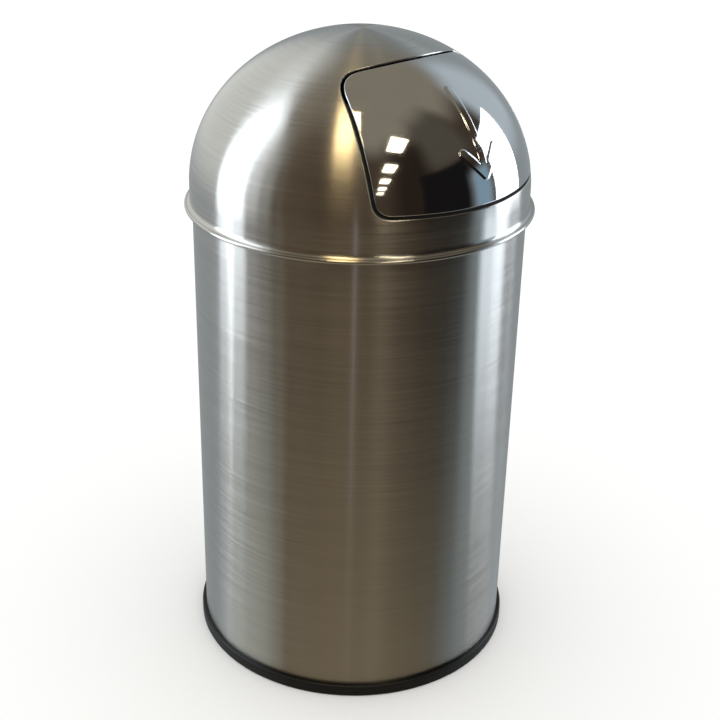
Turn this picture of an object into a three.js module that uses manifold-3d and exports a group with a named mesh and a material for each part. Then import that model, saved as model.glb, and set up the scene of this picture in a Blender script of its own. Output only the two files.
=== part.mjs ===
// Dome top waste receptacle with a sprung push flap and a lift-out bucket.
// Millimetres, +Z up, origin at the centre of the underside, flap facing -Y.

import * as THREE from 'three';
import { mergeVertices } from 'three/addons/utils/BufferGeometryUtils.js';
import Module from 'manifold-3d';

const wasm = await Module();
wasm.setup();

// ---------------------------------------------------------------- driving dimensions

const seatGap = 0.3; // kept between pieces that touch
const turnSegments = 48; // sides of every large turned piece
const smallSegments = 12; // sides of pins, rivets and holes
const rollSteps = 5; // of every rolled sheet edge
const roundSteps = 3; // of a rounded plastic edge
const cutPast = 1; // how far a cutting tool runs past what it cuts
const halvings = 40; // of the search for a height under the dome

// Body: a rolled sheet tube with its mouth curled inwards.
const bodyRadius = 170;
const bodySheet = 0.6;
const bodyTop = 506;
const curlRadius = 3;
const curlSweep = 205; // degrees that the mouth is curled round

// Base: a plastic ring that grips the foot of the tube, and a steel pan on its ledge.
const ringOverhang = 4.5; // past the body
const ringHeight = 12.5;
const ringFloor = 2.5;
const ringWidth = 16.5;
const ringLedge = 3;
const ringRound = 2;
const ringChamfer = 1.2;
const panSheet = 0.8;
const panHeight = 7;
const panCorner = 1;

// Lid: a spun dome over a short straight band that flares into a rolled brim.
const lidSheet = 0.8;
const lidSlip = 1.6; // between the lid's band and the body
const bandAboveBody = 10.3;
const domeRise = 154.1;
const domeSteps = 10;
const brimOverhang = 5.7; // past the band
const brimDrop = 11.7; // below the body's mouth
const brimRoll = 2;
const brimRollSweep = 190;
const flareHeight = 5;
const flareSteps = 3;

// Ring inside the lid that rests on the mouth and keeps the lid central.
const seatThickness = 3;
const seatUpstand = 3.5;
const seatUpstandWall = 2;
const spigotDepth = 15; // below the body's mouth
const spigotWall = 2;
const spigotSlip = 1.2;

// Flap: a rounded outline carried onto the dome along one straight line, as a press cuts it.
const flapHalfWidth = 108.5;
const flapTopHalfWidth = 82.5;
const flapSill = 20.2; // above the dome's band
const flapCrown = 15.9; // below the dome's top
const flapWidest = 20; // up the outline from the sill
const sillBow = 14.2; // rise of the sill towards its ends
const pressTilt = 20; // degrees over level
const lowerCorner = 13; // how far the rounding starts from the corner
const upperCorner = 20;
const sillSteps = 4;
const sideSteps = 4;
const topSteps = 3;
const cornerSteps = 4;
const flapGap = 3; // seen all round the flap
const openingLip = 2.5; // turned in round the opening
const flapSheet = 0.8;
const flapEdge = 5; // turned in round the flap
const linerSheet = 2;
const linerFlange = 8; // past the flap's edge
const sealWidth = 6.8;
const sealTopShare = 0.79; // of the flap's height, where the flange ends
const sealShort = 1; // the seal ends this far below the flange
const plugReach = 14; // of the opening's plug past the dome's surface on each side
const plugCrest = 30; // of the plug's outer face over its edge

// Hinge: a pin under the dome behind the flap's upper edge.
const hingeSetback = 21;
const hingeDrop = 18.6;
const pinRadius = 3;
const pinFit = 0.3;
const knuckleRadius = 6;
const knuckleWidth = 10;
const knuckleOffset = 21;
const ribReach = 38;
const bracketOffset = 44;
const bracketSheet = 2;
const bracketEye = 6.5;
const bracketFootSheet = 1.5;
const bracketFootInner = 30;
const bracketFootOuter = 60;
const bracketFootFront = 4; // behind the pin
const bracketFootBack = 26;
const clipRadius = 6;
const clipThickness = 1.2;
const pinTail = 2; // past the clips

// Springs: one each side, closing the flap.
const springWire = 0.8; // radius
const springBore = 3.5; // inside radius
const springPitch = 2.4;
const springTurns = 4;
const springOffset = 34.5;
const springFixedReach = 20;
const springMovingReach = 30;
const curlSteps = 8;
const wireSides = 5;
const leastWireGap = 0.4;
const gapSamples = 48; // points in each turn on which the gap is measured

// Bucket: a tapered sheet pail with a rolled rim, ears and a wire bail.
const bucketSheet = 0.6;
const bucketSink = 28; // its rim below the body's mouth
const bucketTaper = 8.5;
const rimRadius = 3; // of the roll
const rimSweep = 290;
const mouthSlip = 5; // between the bail's ends and the body's mouth
const footHeight = 5;
const footWidth = 4;
const footCorner = 1.5;
const earSheet = 1.5;
const earWidth = 22;
const earFoot = 38; // below the rim
const earJoggle = 9; // height over which the ear steps out past the rim
const earJoggleDrop = 15; // below the rim
const bailWire = 2.5; // radius
const bailTail = 2.6;
const bailBend = 4;
const bailSteps = 13; // in each half
const bendSteps = 4;
const bailSides = 8;
const eyeSlip = 0.6;
const earShoulder = 4.5; // material round the eye
const earRoundSteps = 10;
const rivetShank = 2;
const rivetHead = 3.6;
const rivetHeadHeight = 1.4;
const rivetShoulderAcross = 0.75; // of the head's radius, where its dome breaks
const rivetShoulderUp = 0.7; // of the head's height, where its dome breaks
const rivetSpacing = 12;
const rivetDrop = 30; // below the rim

// ---------------------------------------------------------------- places worked out from them

const ringRadius = bodyRadius + ringOverhang;
const ringInner = ringRadius - ringWidth;
const bodyFoot = ringFloor + seatGap;
const mouthRadius = bodyRadius - 2 * curlRadius;
const panRadius = bodyRadius - bodySheet - seatGap;

const lidRadius = bodyRadius + lidSlip + lidSheet;
const bandTop = bodyTop + bandAboveBody;
const apex = bandTop + domeRise;
const brimRadius = lidRadius + brimOverhang;
const brimFoot = bodyTop - brimDrop;
const seatFoot = bodyTop + seatGap;

const flapFoot = bandTop + flapSill;
const flapTop = apex - flapCrown;
const flapRise = flapTop - flapFoot;
const sealTop = flapFoot + flapRise * sealTopShare;
const sealDepth = openingLip + seatGap;
const flangeDepth = flapEdge + seatGap;
const linerDepth = flapSheet + seatGap;
const rimBack = flangeDepth + linerSheet;

const earSpace = seatGap + earSheet + bailTail + mouthSlip;
const bucketTop = bodyTop - bucketSink;
const rimOuter = mouthRadius - earSpace;
const rimCentre = rimOuter - rimRadius;
const wallTop = rimCentre - rimRadius + bucketSheet;
const wallFoot = wallTop - bucketTaper;
const bucketFoot = panHeight + seatGap;
const eyeHeight = bucketTop + seatGap + bailWire;
const earInner = rimOuter + seatGap;
const earOuter = earInner + earSheet;
const rivetHeight = bucketTop - rivetDrop;

// ---------------------------------------------------------------- solids

const AXIS_X = new THREE.Vector3(1, 0, 0);
const AXIS_Y = new THREE.Vector3(0, 1, 0);
const AXIS_Z = new THREE.Vector3(0, 0, 1);

/** A closed geometry as a solid, with doubled points and empty faces taken out. */
function toSolid(geometry) {
  const bare = geometry.index ? geometry.toNonIndexed() : geometry.clone();
  bare.deleteAttribute('normal');
  bare.deleteAttribute('uv');
  const merged = mergeVertices(bare, 1e-4);
  const faces = [];
  for (let i = 0; i < merged.index.count; i += 3) {
    const [a, b, c] = [0, 1, 2].map((k) => merged.index.getX(i + k));
    if (a !== b && b !== c && c !== a) faces.push(a, b, c);
  }
  const vertProperties = Float32Array.from(merged.attributes.position.array);
  const solid = new wasm.Manifold(
    new wasm.Mesh({ numProp: 3, vertProperties, triVerts: Uint32Array.from(faces) }),
  );
  if (solid.volume() > 0) return solid;
  for (let i = 0; i < faces.length; i += 3) [faces[i], faces[i + 1]] = [faces[i + 1], faces[i]];
  return new wasm.Manifold(
    new wasm.Mesh({ numProp: 3, vertProperties, triVerts: Uint32Array.from(faces) }),
  );
}

/** A solid as a geometry for a mesh. */
function toGeometry(solid) {
  const { vertProperties, triVerts } = solid.getMesh();
  const geometry = new THREE.BufferGeometry();
  geometry.setAttribute('position', new THREE.BufferAttribute(Float32Array.from(vertProperties), 3));
  geometry.setIndex(new THREE.BufferAttribute(Uint32Array.from(triVerts), 1));
  geometry.computeVertexNormals();
  return geometry;
}

/** A profile of [radius, height] points turned round Z. */
function turned(profile, segments = turnSegments) {
  const points = profile.map(([radius, height]) => new THREE.Vector2(radius, height));
  return toSolid(new THREE.LatheGeometry(points, segments).rotateX(Math.PI / 2));
}

/** The same with the profile closed on itself. */
function turnedRing(profile, segments = turnSegments) {
  return turned([...profile, profile[0]], segments);
}

/** A profile turned round a line along X through the point (0, y, z). */
function turnedOnX(profile, y, z) {
  const points = profile.map(([radius, x]) => new THREE.Vector2(radius, x));
  const geometry = new THREE.LatheGeometry(points, smallSegments).rotateZ(-Math.PI / 2);
  return toSolid(geometry.translate(0, y, z));
}

/** A cylinder along X from one x to another. */
function barX(radius, fromX, toX, y, z) {
  return turnedOnX([[0, fromX], [radius, fromX], [radius, toX], [0, toX]], y, z);
}

/** An outline of [y, z] points made thick along X. */
function plateX(outline, fromX, toX) {
  const shape = new THREE.Shape(outline.map(([y, z]) => new THREE.Vector2(y, z)));
  const geometry = new THREE.ExtrudeGeometry(shape, { depth: toX - fromX, bevelEnabled: false });
  geometry.applyMatrix4(new THREE.Matrix4().makeBasis(AXIS_Y, AXIS_Z, AXIS_X));
  return toSolid(geometry.translate(fromX, 0, 0));
}

/** An outline of [x, z] points made thick along Y, half each way. */
function plateY(outline, width) {
  const shape = new THREE.Shape(outline.map(([x, z]) => new THREE.Vector2(x, z)));
  const geometry = new THREE.ExtrudeGeometry(shape, { depth: width, bevelEnabled: false });
  geometry.applyMatrix4(new THREE.Matrix4().makeBasis(AXIS_X, AXIS_Z, AXIS_Y.clone().negate()));
  return toSolid(geometry.translate(0, width / 2, 0));
}

/** A box between two corners. */
function block(low, high) {
  const size = high.map((value, i) => value - low[i]);
  const middle = high.map((value, i) => (value + low[i]) / 2);
  return toSolid(new THREE.BoxGeometry(...size).translate(...middle));
}

/** A round wire along a curve. */
function wireAlong(curve, radius, steps, sides) {
  const section = new THREE.Shape(
    arc(0, 0, radius, 0, 360, sides).slice(0, sides).map(([x, y]) => new THREE.Vector2(x, y)),
  );
  return toSolid(new THREE.ExtrudeGeometry(section, { steps, extrudePath: curve, bevelEnabled: false }));
}

/** Points on an arc, with angles in degrees. */
function arc(centreX, centreY, radius, from, to, steps) {
  return Array.from({ length: steps + 1 }, (_, i) => {
    const angle = THREE.MathUtils.degToRad(from + ((to - from) * i) / steps);
    return [centreX + radius * Math.cos(angle), centreY + radius * Math.sin(angle)];
  });
}

/** A profile line moved sideways, to the right of its direction, with mitred corners. */
function movedRight(line, distance) {
  const right = line.slice(1).map(([x, y], i) => {
    const [dx, dy] = [x - line[i][0], y - line[i][1]];
    const length = Math.hypot(dx, dy);
    return [dy / length, -dx / length];
  });
  return line.map(([x, y], i) => {
    const before = right[Math.max(i - 1, 0)];
    const after = right[Math.min(i, right.length - 1)];
    const spread = 1 + before[0] * after[0] + before[1] * after[1];
    const moved = [0, 1].map((k) => (distance * (before[k] + after[k])) / spread);
    return x === 0 ? [0, y + Math.sign(moved[1]) * Math.abs(distance)] : [x + moved[0], y + moved[1]];
  });
}

/** Sheet of a given thickness on the right-hand side of a profile line. */
function sheet(line, thickness) {
  return [...line, ...movedRight(line, thickness).reverse()];
}

const mirrored = (solid) => solid.mirror([1, 0, 0]);

// ---------------------------------------------------------------- the dome's surface

/** Profile points of the dome from its top to its band, set in by a depth. */
function domeProfile(depth) {
  return Array.from({ length: domeSteps + 1 }, (_, i) => {
    const angle = (Math.PI / 2) * (1 - i / domeSteps);
    const [across, up] = [Math.cos(angle) / lidRadius, Math.sin(angle) / domeRise];
    const length = Math.hypot(across, up);
    const radius = lidRadius * Math.cos(angle) - (depth * across) / length;
    const height = bandTop + domeRise * Math.sin(angle) - (depth * up) / length;
    return [i === 0 ? 0 : radius, height];
  });
}

/** Everything that lies at least a depth under the dome's outer surface. */
function underDome(depth) {
  return turned([...domeProfile(depth), [lidRadius - depth, bodyTop], [0, bodyTop]]);
}

/** The layer of the dome between two depths. */
const domeLayer = (outer, inner) => underDome(outer).subtract(underDome(inner));

/** How far out a point is, as a share of the dome's own size in that direction. */
function domeShare(point) {
  const up = Math.max(point.z - bandTop, 0) / domeRise;
  return Math.hypot(point.x / lidRadius, point.y / lidRadius, up);
}

/** The dome's outward direction at a point. */
function domeNormal(point) {
  const up = Math.max(point.z - bandTop, 0) / domeRise ** 2;
  return new THREE.Vector3(point.x / lidRadius ** 2, point.y / lidRadius ** 2, up).normalize();
}

/** A point near the dome moved onto its outer surface, along the line to its centre. */
function ontoDome(point) {
  const centre = new THREE.Vector3(0, 0, Math.min(point.z, bandTop));
  return point.clone().sub(centre).divideScalar(domeShare(point)).add(centre);
}

/** The point on the front of the dome with a given x and z. */
function domeFront(x, z) {
  const up = Math.max(z - bandTop, 0) / domeRise;
  const radius = lidRadius * Math.sqrt(1 - up ** 2);
  return new THREE.Vector3(x, -Math.sqrt(radius ** 2 - x ** 2), z);
}

/** How deep a point lies under the dome's outer surface, for small depths. */
function domeDepth(point) {
  const share = domeShare(point);
  const slope = new THREE.Vector3(
    point.x / lidRadius ** 2,
    point.y / lidRadius ** 2,
    (point.z - bandTop) / domeRise ** 2,
  );
  return ((1 - share) * share) / slope.length();
}

/** The height at a given x and y that lies a depth under the dome. */
function heightUnderDome(x, y, depth) {
  let [low, high] = [bandTop, apex];
  for (let i = 0; i < halvings; i += 1) {
    const middle = (low + high) / 2;
    const point = new THREE.Vector3(x, y, middle);
    const under = domeShare(point) < 1 && domeDepth(point) > depth;
    [low, high] = under ? [middle, high] : [low, middle];
  }
  return low;
}

// ---------------------------------------------------------------- the flap's outline

const pressAngle = THREE.MathUtils.degToRad(pressTilt);
const sillPoint = domeFront(0, flapFoot);
const flapTopEdge = domeFront(0, flapTop);
const flapLength = (flapTopEdge.y - sillPoint.y) * Math.sin(pressAngle)
  + (flapTopEdge.z - sillPoint.z) * Math.cos(pressAngle);

/** The point of the dome's front under a point of the outline, x across and v up from the sill. */
function pressedOntoDome([x, v]) {
  const y = sillPoint.y + v * Math.sin(pressAngle);
  const z = sillPoint.z + v * Math.cos(pressAngle) - bandTop;
  const [stepY, stepZ] = [-Math.cos(pressAngle), Math.sin(pressAngle)];
  const a = (stepY / lidRadius) ** 2 + (stepZ / domeRise) ** 2;
  const b = (y * stepY) / lidRadius ** 2 + (z * stepZ) / domeRise ** 2;
  const c = (x ** 2 + y ** 2) / lidRadius ** 2 + (z / domeRise) ** 2 - 1;
  const run = (Math.sqrt(Math.max(b ** 2 - a * c, 0)) - b) / a;
  return new THREE.Vector3(x, y + run * stepY, z + run * stepZ + bandTop);
}

/** Height of the bowed sill at an x. */
const sillAt = (x) => sillBow * (x / flapHalfWidth) ** 2;

/** Half width of the outline at a height, drawn in towards the top. */
function sideAt(v) {
  const share = Math.max(v - flapWidest, 0) / (flapLength - flapWidest);
  return flapHalfWidth - (flapHalfWidth - flapTopHalfWidth) * share ** 2;
}

/** Points from one end of a rounded corner to the other, both ends left out. */
function roundedCorner([fromX, fromY], [cornerX, cornerY], [toX, toY]) {
  const bend = new THREE.QuadraticBezierCurve(
    new THREE.Vector2(fromX, fromY),
    new THREE.Vector2(cornerX, cornerY),
    new THREE.Vector2(toX, toY),
  );
  return bend.getPoints(cornerSteps).slice(1, -1).map(({ x, y }) => [x, y]);
}

/** Even values from one to another, both ends kept. */
function evenly(from, to, steps) {
  return Array.from({ length: steps + 1 }, (_, i) => from + ((to - from) * i) / steps);
}

/** Right half of the outline, from the middle of the sill to the middle of the top. */
function flapHalfOutline() {
  const foot = [flapHalfWidth, sillBow];
  const head = [flapTopHalfWidth, flapLength];
  const sill = evenly(0, foot[0] - lowerCorner, sillSteps).map((x) => [x, sillAt(x)]);
  const side = evenly(foot[1] + lowerCorner, head[1] - upperCorner, sideSteps).map((v) => [sideAt(v), v]);
  const top = evenly(head[0] - upperCorner, 0, topSteps).map((x) => [x, flapLength]);
  return [
    ...sill,
    ...roundedCorner(sill[sillSteps], foot, side[0]),
    ...side,
    ...roundedCorner(side[sideSteps], head, top[0]),
    ...top,
  ];
}

/** The whole outline laid on the dome, grown outwards along its surface. */
function flapLoop(growth) {
  const right = flapHalfOutline();
  const left = right.slice(1, -1).reverse().map(([x, v]) => [-x, v]);
  const loop = [...right, ...left].map(pressedOntoDome);
  return loop.map((point, i) => {
    const next = loop[(i + 1) % loop.length];
    const previous = loop[(i + loop.length - 1) % loop.length];
    const along = next.clone().sub(previous);
    const outwards = along.cross(domeNormal(point)).normalize();
    return ontoDome(point.clone().addScaledVector(outwards, growth));
  });
}

/** A plug through the dome with the flap's outline, its walls square to the dome. */
function flapPlug(growth) {
  const loop = flapLoop(growth);
  const normals = loop.map(domeNormal);
  const outer = loop.map((point, i) => point.clone().addScaledVector(normals[i], plugReach));
  const inner = loop.map((point, i) => point.clone().addScaledVector(normals[i], -plugReach));
  const middle = domeFront(0, flapFoot + flapRise / 2);
  const outerTip = middle.clone().addScaledVector(domeNormal(middle), plugCrest);
  const innerTip = middle.clone().addScaledVector(domeNormal(middle), -plugCrest);
  const positions = [];
  loop.forEach((_, i) => {
    const j = (i + 1) % loop.length;
    const faces = [
      [outer[i], outer[j], outerTip],
      [inner[j], inner[i], innerTip],
      [inner[i], inner[j], outer[j]],
      [inner[i], outer[j], outer[i]],
    ];
    faces.flat().forEach((point) => positions.push(point.x, point.y, point.z));
  });
  const geometry = new THREE.BufferGeometry();
  geometry.setAttribute('position', new THREE.Float32BufferAttribute(positions, 3));
  return toSolid(geometry);
}

/** The part of the flap's surround below a level. */
const below = (level, solid) => solid.subtract(
  block([-2 * lidRadius, -2 * lidRadius, level], [2 * lidRadius, 2 * lidRadius, 2 * apex]),
);

const hingeY = flapTopEdge.y + hingeSetback;
const hingeZ = flapTopEdge.z - hingeDrop;

// ---------------------------------------------------------------- body

function baseRing() {
  const ledgeTop = panHeight - panSheet - seatGap;
  const groove = bodyRadius + seatGap;
  return turnedRing([
    [ringInner, 0],
    [ringRadius - ringChamfer, 0],
    [ringRadius, ringChamfer],
    ...arc(ringRadius - ringRound, ringHeight - ringRound, ringRound, 0, 90, roundSteps),
    [groove, ringHeight],
    [groove, ringFloor],
    [ringInner + ringLedge, ringFloor],
    [ringInner + ringLedge, ledgeTop],
    [ringInner, ledgeTop],
  ]);
}

function basePan() {
  return turned(sheet([
    [0, panHeight],
    [panRadius - panCorner, panHeight],
    [panRadius, panHeight - panCorner],
    [panRadius, bodyFoot],
  ], panSheet));
}

function bodyShell() {
  const curlCentre = [bodyRadius - curlRadius, bodyTop - curlRadius];
  const line = [
    [bodyRadius, bodyFoot],
    ...arc(...curlCentre, curlRadius, 0, curlSweep, rollSteps),
  ];
  return turnedRing([...line, ...movedRight(line, -bodySheet).reverse()]);
}

// ---------------------------------------------------------------- lid

/** The dome's outer line: cap, band, flare and the brim rolled under. */
function lidLine() {
  const rollCentre = [brimRadius - brimRoll, brimFoot + brimRoll];
  const flareTop = brimFoot + 2 * brimRoll + flareHeight;
  const flare = Array.from({ length: flareSteps }, (_, i) => {
    const angle = (Math.PI / 2) * (i / flareSteps);
    const radius = lidRadius + (rollCentre[0] - lidRadius) * (1 - Math.cos(angle));
    return [radius, flareTop - flareHeight * Math.sin(angle)];
  });
  return [...domeProfile(0), ...flare, ...arc(...rollCentre, brimRoll, 90, 90 - brimRollSweep, rollSteps)];
}

function domeShell() {
  const shell = turned(sheet(lidLine(), lidSheet));
  const lip = flapPlug(flapGap + lidSheet).intersect(domeLayer(lidSheet / 2, openingLip));
  return shell.add(lip).subtract(flapPlug(flapGap));
}

function lidSeatRing() {
  const outer = lidRadius - lidSheet - seatGap;
  const spigotOuter = mouthRadius - spigotSlip;
  const spigotInner = spigotOuter - spigotWall;
  const top = seatFoot + seatThickness;
  return turnedRing([
    [spigotInner, bodyTop - spigotDepth],
    [spigotOuter, bodyTop - spigotDepth],
    [spigotOuter, seatFoot],
    [outer, seatFoot],
    [outer, top + seatUpstand],
    [outer - seatUpstandWall, top + seatUpstand],
    [outer - seatUpstandWall, top],
    [spigotInner, top],
  ]);
}

/** A sheet lug that holds the pin, with a foot welded under the dome. */
function hingeBracket() {
  const inner = bracketOffset - bracketSheet / 2;
  const outer = bracketOffset + bracketSheet / 2;
  const footDepth = lidSheet + seatGap;
  const web = plateX([
    [hingeY, hingeZ - bracketEye],
    [hingeY + bracketEye, hingeZ],
    [hingeY + bracketFootBack, hingeZ],
    [hingeY + bracketFootBack, apex],
    [hingeY + bracketFootFront, apex],
  ], inner, outer);
  const eye = barX(bracketEye, inner, outer, hingeY, hingeZ);
  const foot = block(
    [bracketFootInner, hingeY + bracketFootFront, bandTop],
    [bracketFootOuter, hingeY + bracketFootBack, apex],
  ).intersect(domeLayer(footDepth, footDepth + bracketFootSheet));
  const hole = barX(pinRadius + pinFit, inner - cutPast, outer + cutPast, hingeY, hingeZ);
  return web.add(eye).intersect(underDome(footDepth)).add(foot).subtract(hole);
}

function hingePin() {
  const reach = bracketOffset + bracketSheet / 2 + seatGap + clipThickness + pinTail;
  return barX(pinRadius, -reach, reach, hingeY, hingeZ);
}

/** A push-on clip outside the bracket. */
function pinClip() {
  const inner = bracketOffset + bracketSheet / 2 + seatGap;
  const outer = inner + clipThickness;
  const bore = pinRadius + seatGap;
  const edge = clipThickness / 2;
  return turnedOnX([
    [bore, inner],
    [clipRadius - edge, inner],
    [clipRadius, inner + edge],
    [clipRadius - edge, outer],
    [bore, outer],
    [bore, inner],
  ], hingeY, hingeZ);
}

// ---------------------------------------------------------------- springs

const springRadius = springBore + springWire;

/** The angle round the pin where a straight leg to a point leaves the coil's lower side. */
function lowerTangent(y, z) {
  const [dy, dz] = [y - hingeY, z - hingeZ];
  const swing = Math.acos(springRadius / Math.hypot(dy, dz));
  const angle = Math.atan2(dz, dy);
  return dy > 0 ? angle - swing : angle + swing;
}

/** The wire of the right-hand spring: a leg under the dome, the coil, a leg under the flap. */
class SpringWire extends THREE.Curve {
  constructor() {
    super();
    const coilLength = springTurns * springPitch;
    this.fixedX = springOffset + coilLength / 2;
    this.movingX = springOffset - coilLength / 2;
    const fixedDepth = lidSheet + seatGap + bracketFootSheet + seatGap + springWire;
    const movingDepth = linerDepth + linerSheet + seatGap + springWire;
    const fixedY = hingeY + springFixedReach;
    const movingY = hingeY - springMovingReach;
    const fixedZ = heightUnderDome(this.fixedX, fixedY, fixedDepth);
    const movingZ = heightUnderDome(this.movingX, movingY, movingDepth);
    this.fixedEnd = new THREE.Vector3(this.fixedX, fixedY, fixedZ);
    this.movingEnd = new THREE.Vector3(this.movingX, movingY, movingZ);
    this.startAngle = lowerTangent(fixedY, fixedZ);
    const meet = lowerTangent(movingY, movingZ);
    const backwards = (((this.startAngle - meet) % (2 * Math.PI)) + 2 * Math.PI) % (2 * Math.PI);
    this.sweep = 2 * Math.PI * springTurns + backwards;
    this.coilStart = this.onCoil(0);
    this.coilEnd = this.onCoil(1);
    const legs = [this.fixedEnd.distanceTo(this.coilStart), this.coilEnd.distanceTo(this.movingEnd)];
    const coil = this.sweep * springRadius;
    const total = legs[0] + coil + legs[1];
    this.stops = [legs[0] / total, (legs[0] + coil) / total];
    this.steps = Math.round((total / (2 * Math.PI * springRadius)) * curlSteps);
  }

  onCoil(share) {
    const angle = this.startAngle - share * this.sweep;
    return new THREE.Vector3(
      this.fixedX + (this.movingX - this.fixedX) * share,
      hingeY + springRadius * Math.cos(angle),
      hingeZ + springRadius * Math.sin(angle),
    );
  }

  getPoint(t, target = new THREE.Vector3()) {
    const [first, second] = this.stops;
    if (t < first) return target.lerpVectors(this.fixedEnd, this.coilStart, t / first);
    if (t < second) return target.copy(this.onCoil((t - first) / (second - first)));
    return target.lerpVectors(this.coilEnd, this.movingEnd, (t - second) / (1 - second));
  }
}

/** The least gap between turns of a wire, measured on points a turn or more apart. */
function leastSelfGap(curve, samplesPerTurn = gapSamples) {
  const count = Math.round((curve.steps / curlSteps) * samplesPerTurn);
  const points = curve.getSpacedPoints(count);
  let least = Infinity;
  for (let i = 0; i < points.length; i += 1) {
    for (let j = i + samplesPerTurn / 2; j < points.length; j += 1) {
      least = Math.min(least, points[i].distanceTo(points[j]) - 2 * springWire);
    }
  }
  return least;
}

const springCurve = new SpringWire();
const springGap = leastSelfGap(springCurve);
console.log(`spring: least gap between turns ${springGap.toFixed(2)} mm (over ${leastWireGap} mm)`);

function flapSpring() {
  return wireAlong(springCurve, springWire, springCurve.steps, wireSides);
}

// ---------------------------------------------------------------- flap

function flapSkin() {
  const edge = flapPlug(0).intersect(domeLayer(0, flapEdge));
  return edge.subtract(flapPlug(-flapSheet).intersect(underDome(flapSheet)));
}

/** A knuckle on the pin with the rib that carries it back under the flap. */
function linerHinge() {
  const from = knuckleOffset - knuckleWidth / 2;
  const to = knuckleOffset + knuckleWidth / 2;
  const arm = plateX([
    [hingeY - ribReach, hingeZ - knuckleRadius],
    [hingeY, hingeZ - knuckleRadius],
    [hingeY, hingeZ + knuckleRadius],
    [hingeY - ribReach, hingeZ + knuckleRadius],
  ], from, to);
  const inside = flapPlug(-flapSheet - seatGap).intersect(underDome(linerDepth + linerSheet / 2));
  const knuckle = barX(knuckleRadius, from, to, hingeY, hingeZ);
  const underEdge = arm.intersect(underDome(flangeDepth));
  return arm.intersect(inside).add(underEdge).add(knuckle);
}

function flapLiner() {
  const inset = flapSheet + seatGap;
  const pan = flapPlug(-inset).intersect(domeLayer(linerDepth, rimBack));
  const hollow = flapPlug(-inset - linerSheet).intersect(underDome(linerDepth + linerSheet));
  const flange = below(sealTop, flapPlug(linerFlange)).intersect(domeLayer(flangeDepth, rimBack));
  const window = flapPlug(-inset - linerSheet);
  const hinge = linerHinge();
  const from = knuckleOffset - knuckleWidth;
  const to = knuckleOffset + knuckleWidth;
  const hole = barX(pinRadius + pinFit, from, to, hingeY, hingeZ);
  return pan.subtract(hollow)
    .add(flange.subtract(window))
    .add(hinge)
    .add(mirrored(hinge))
    .subtract(hole)
    .subtract(mirrored(hole));
}

function flapSeal() {
  const strip = flapPlug(seatGap + sealWidth).subtract(flapPlug(seatGap));
  return below(sealTop - sealShort, strip).intersect(domeLayer(sealDepth, flangeDepth - seatGap));
}

// ---------------------------------------------------------------- bucket

function bucketPail() {
  const floor = bucketFoot + footHeight;
  const line = [
    [0, floor],
    [wallFoot - footWidth - footCorner, floor],
    [wallFoot - footWidth, floor - footCorner],
    [wallFoot - footWidth, bucketFoot],
    [wallFoot, bucketFoot],
    ...arc(rimCentre, bucketTop - rimRadius, rimRadius - bucketSheet, 180, 180 - rimSweep, rollSteps + 1),
  ];
  return turned(bucketSheetProfile(line));
}

/** The pail's sheet: its outer line from the middle of the floor, with the sheet inside it. */
function bucketSheetProfile(line) {
  return [...line, ...movedRight(line, -bucketSheet).reverse()];
}

const rivetPlaces = [-rivetSpacing / 2, rivetSpacing / 2];

/** How far the flats of a turned surface lie inside its true round. */
const flatSag = (radius) => radius * (1 - Math.cos(Math.PI / turnSegments));

/** Where a rivet's inner head starts: inside the pail's wall over the whole head. */
function insideAtRivet(y) {
  const share = (rivetHeight - bucketFoot) / (bucketTop - rimRadius - bucketFoot);
  const wall = wallFoot + (wallTop - wallFoot) * share;
  const chord = Math.sqrt(wall ** 2 - (Math.abs(y) + rivetHead) ** 2);
  return chord - flatSag(wall) - bucketSheet - seatGap;
}

const earFootX = wallTop + seatGap;

function innerBucket() {
  const holes = rivetPlaces.map((y) => (
    barX(rivetShank + seatGap, wallFoot / 2, rimOuter, y, rivetHeight)
  ));
  return [...holes, ...holes.map(mirrored)].reduce((solid, hole) => solid.subtract(hole), bucketPail());
}

/** A strip riveted to the pail, stepping out past the rim to an eye above it. */
function bailEar() {
  const eyeRadius = bailWire + eyeSlip;
  const top = eyeHeight + eyeRadius + earShoulder;
  const joggleTop = bucketTop - earJoggleDrop + earJoggle;
  const strip = plateY([
    [earFootX, bucketTop - earFoot],
    [earFootX + earSheet, bucketTop - earFoot],
    [earFootX + earSheet, bucketTop - earJoggleDrop],
    [earOuter, joggleTop],
    [earOuter, top],
    [earInner, top],
    [earInner, joggleTop + earSheet / 2],
    [earFootX, bucketTop - earJoggleDrop + earSheet / 2],
  ], earWidth);
  const half = earWidth / 2;
  const outline = plateX([
    [-half, bucketTop - earFoot],
    [half, bucketTop - earFoot],
    [half, bucketTop - earJoggleDrop],
    ...arc(0, eyeHeight, eyeRadius + earShoulder, 0, 180, earRoundSteps),
    [-half, bucketTop - earJoggleDrop],
  ], wallFoot, mouthRadius);
  const eye = barX(eyeRadius, wallFoot, mouthRadius, 0, eyeHeight);
  const holes = rivetPlaces.map((y) => barX(rivetShank + seatGap, wallFoot, mouthRadius, y, rivetHeight));
  return holes.reduce((solid, hole) => solid.subtract(hole), strip.intersect(outline).subtract(eye));
}

/** A rivet through ear and pail, with a domed head outside and a flat one inside. */
function earRivet(y) {
  const wallInside = insideAtRivet(y);
  const earFace = earFootX + earSheet + seatGap;
  const low = rivetHeadHeight / 2;
  return turnedOnX([
    [0, wallInside - low],
    [rivetHead, wallInside - low],
    [rivetHead, wallInside],
    [rivetShank, wallInside],
    [rivetShank, earFace],
    [rivetHead, earFace],
    [rivetHead * rivetShoulderAcross, earFace + rivetHeadHeight * rivetShoulderUp],
    [0, earFace + rivetHeadHeight],
  ], y, rivetHeight);
}

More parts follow.
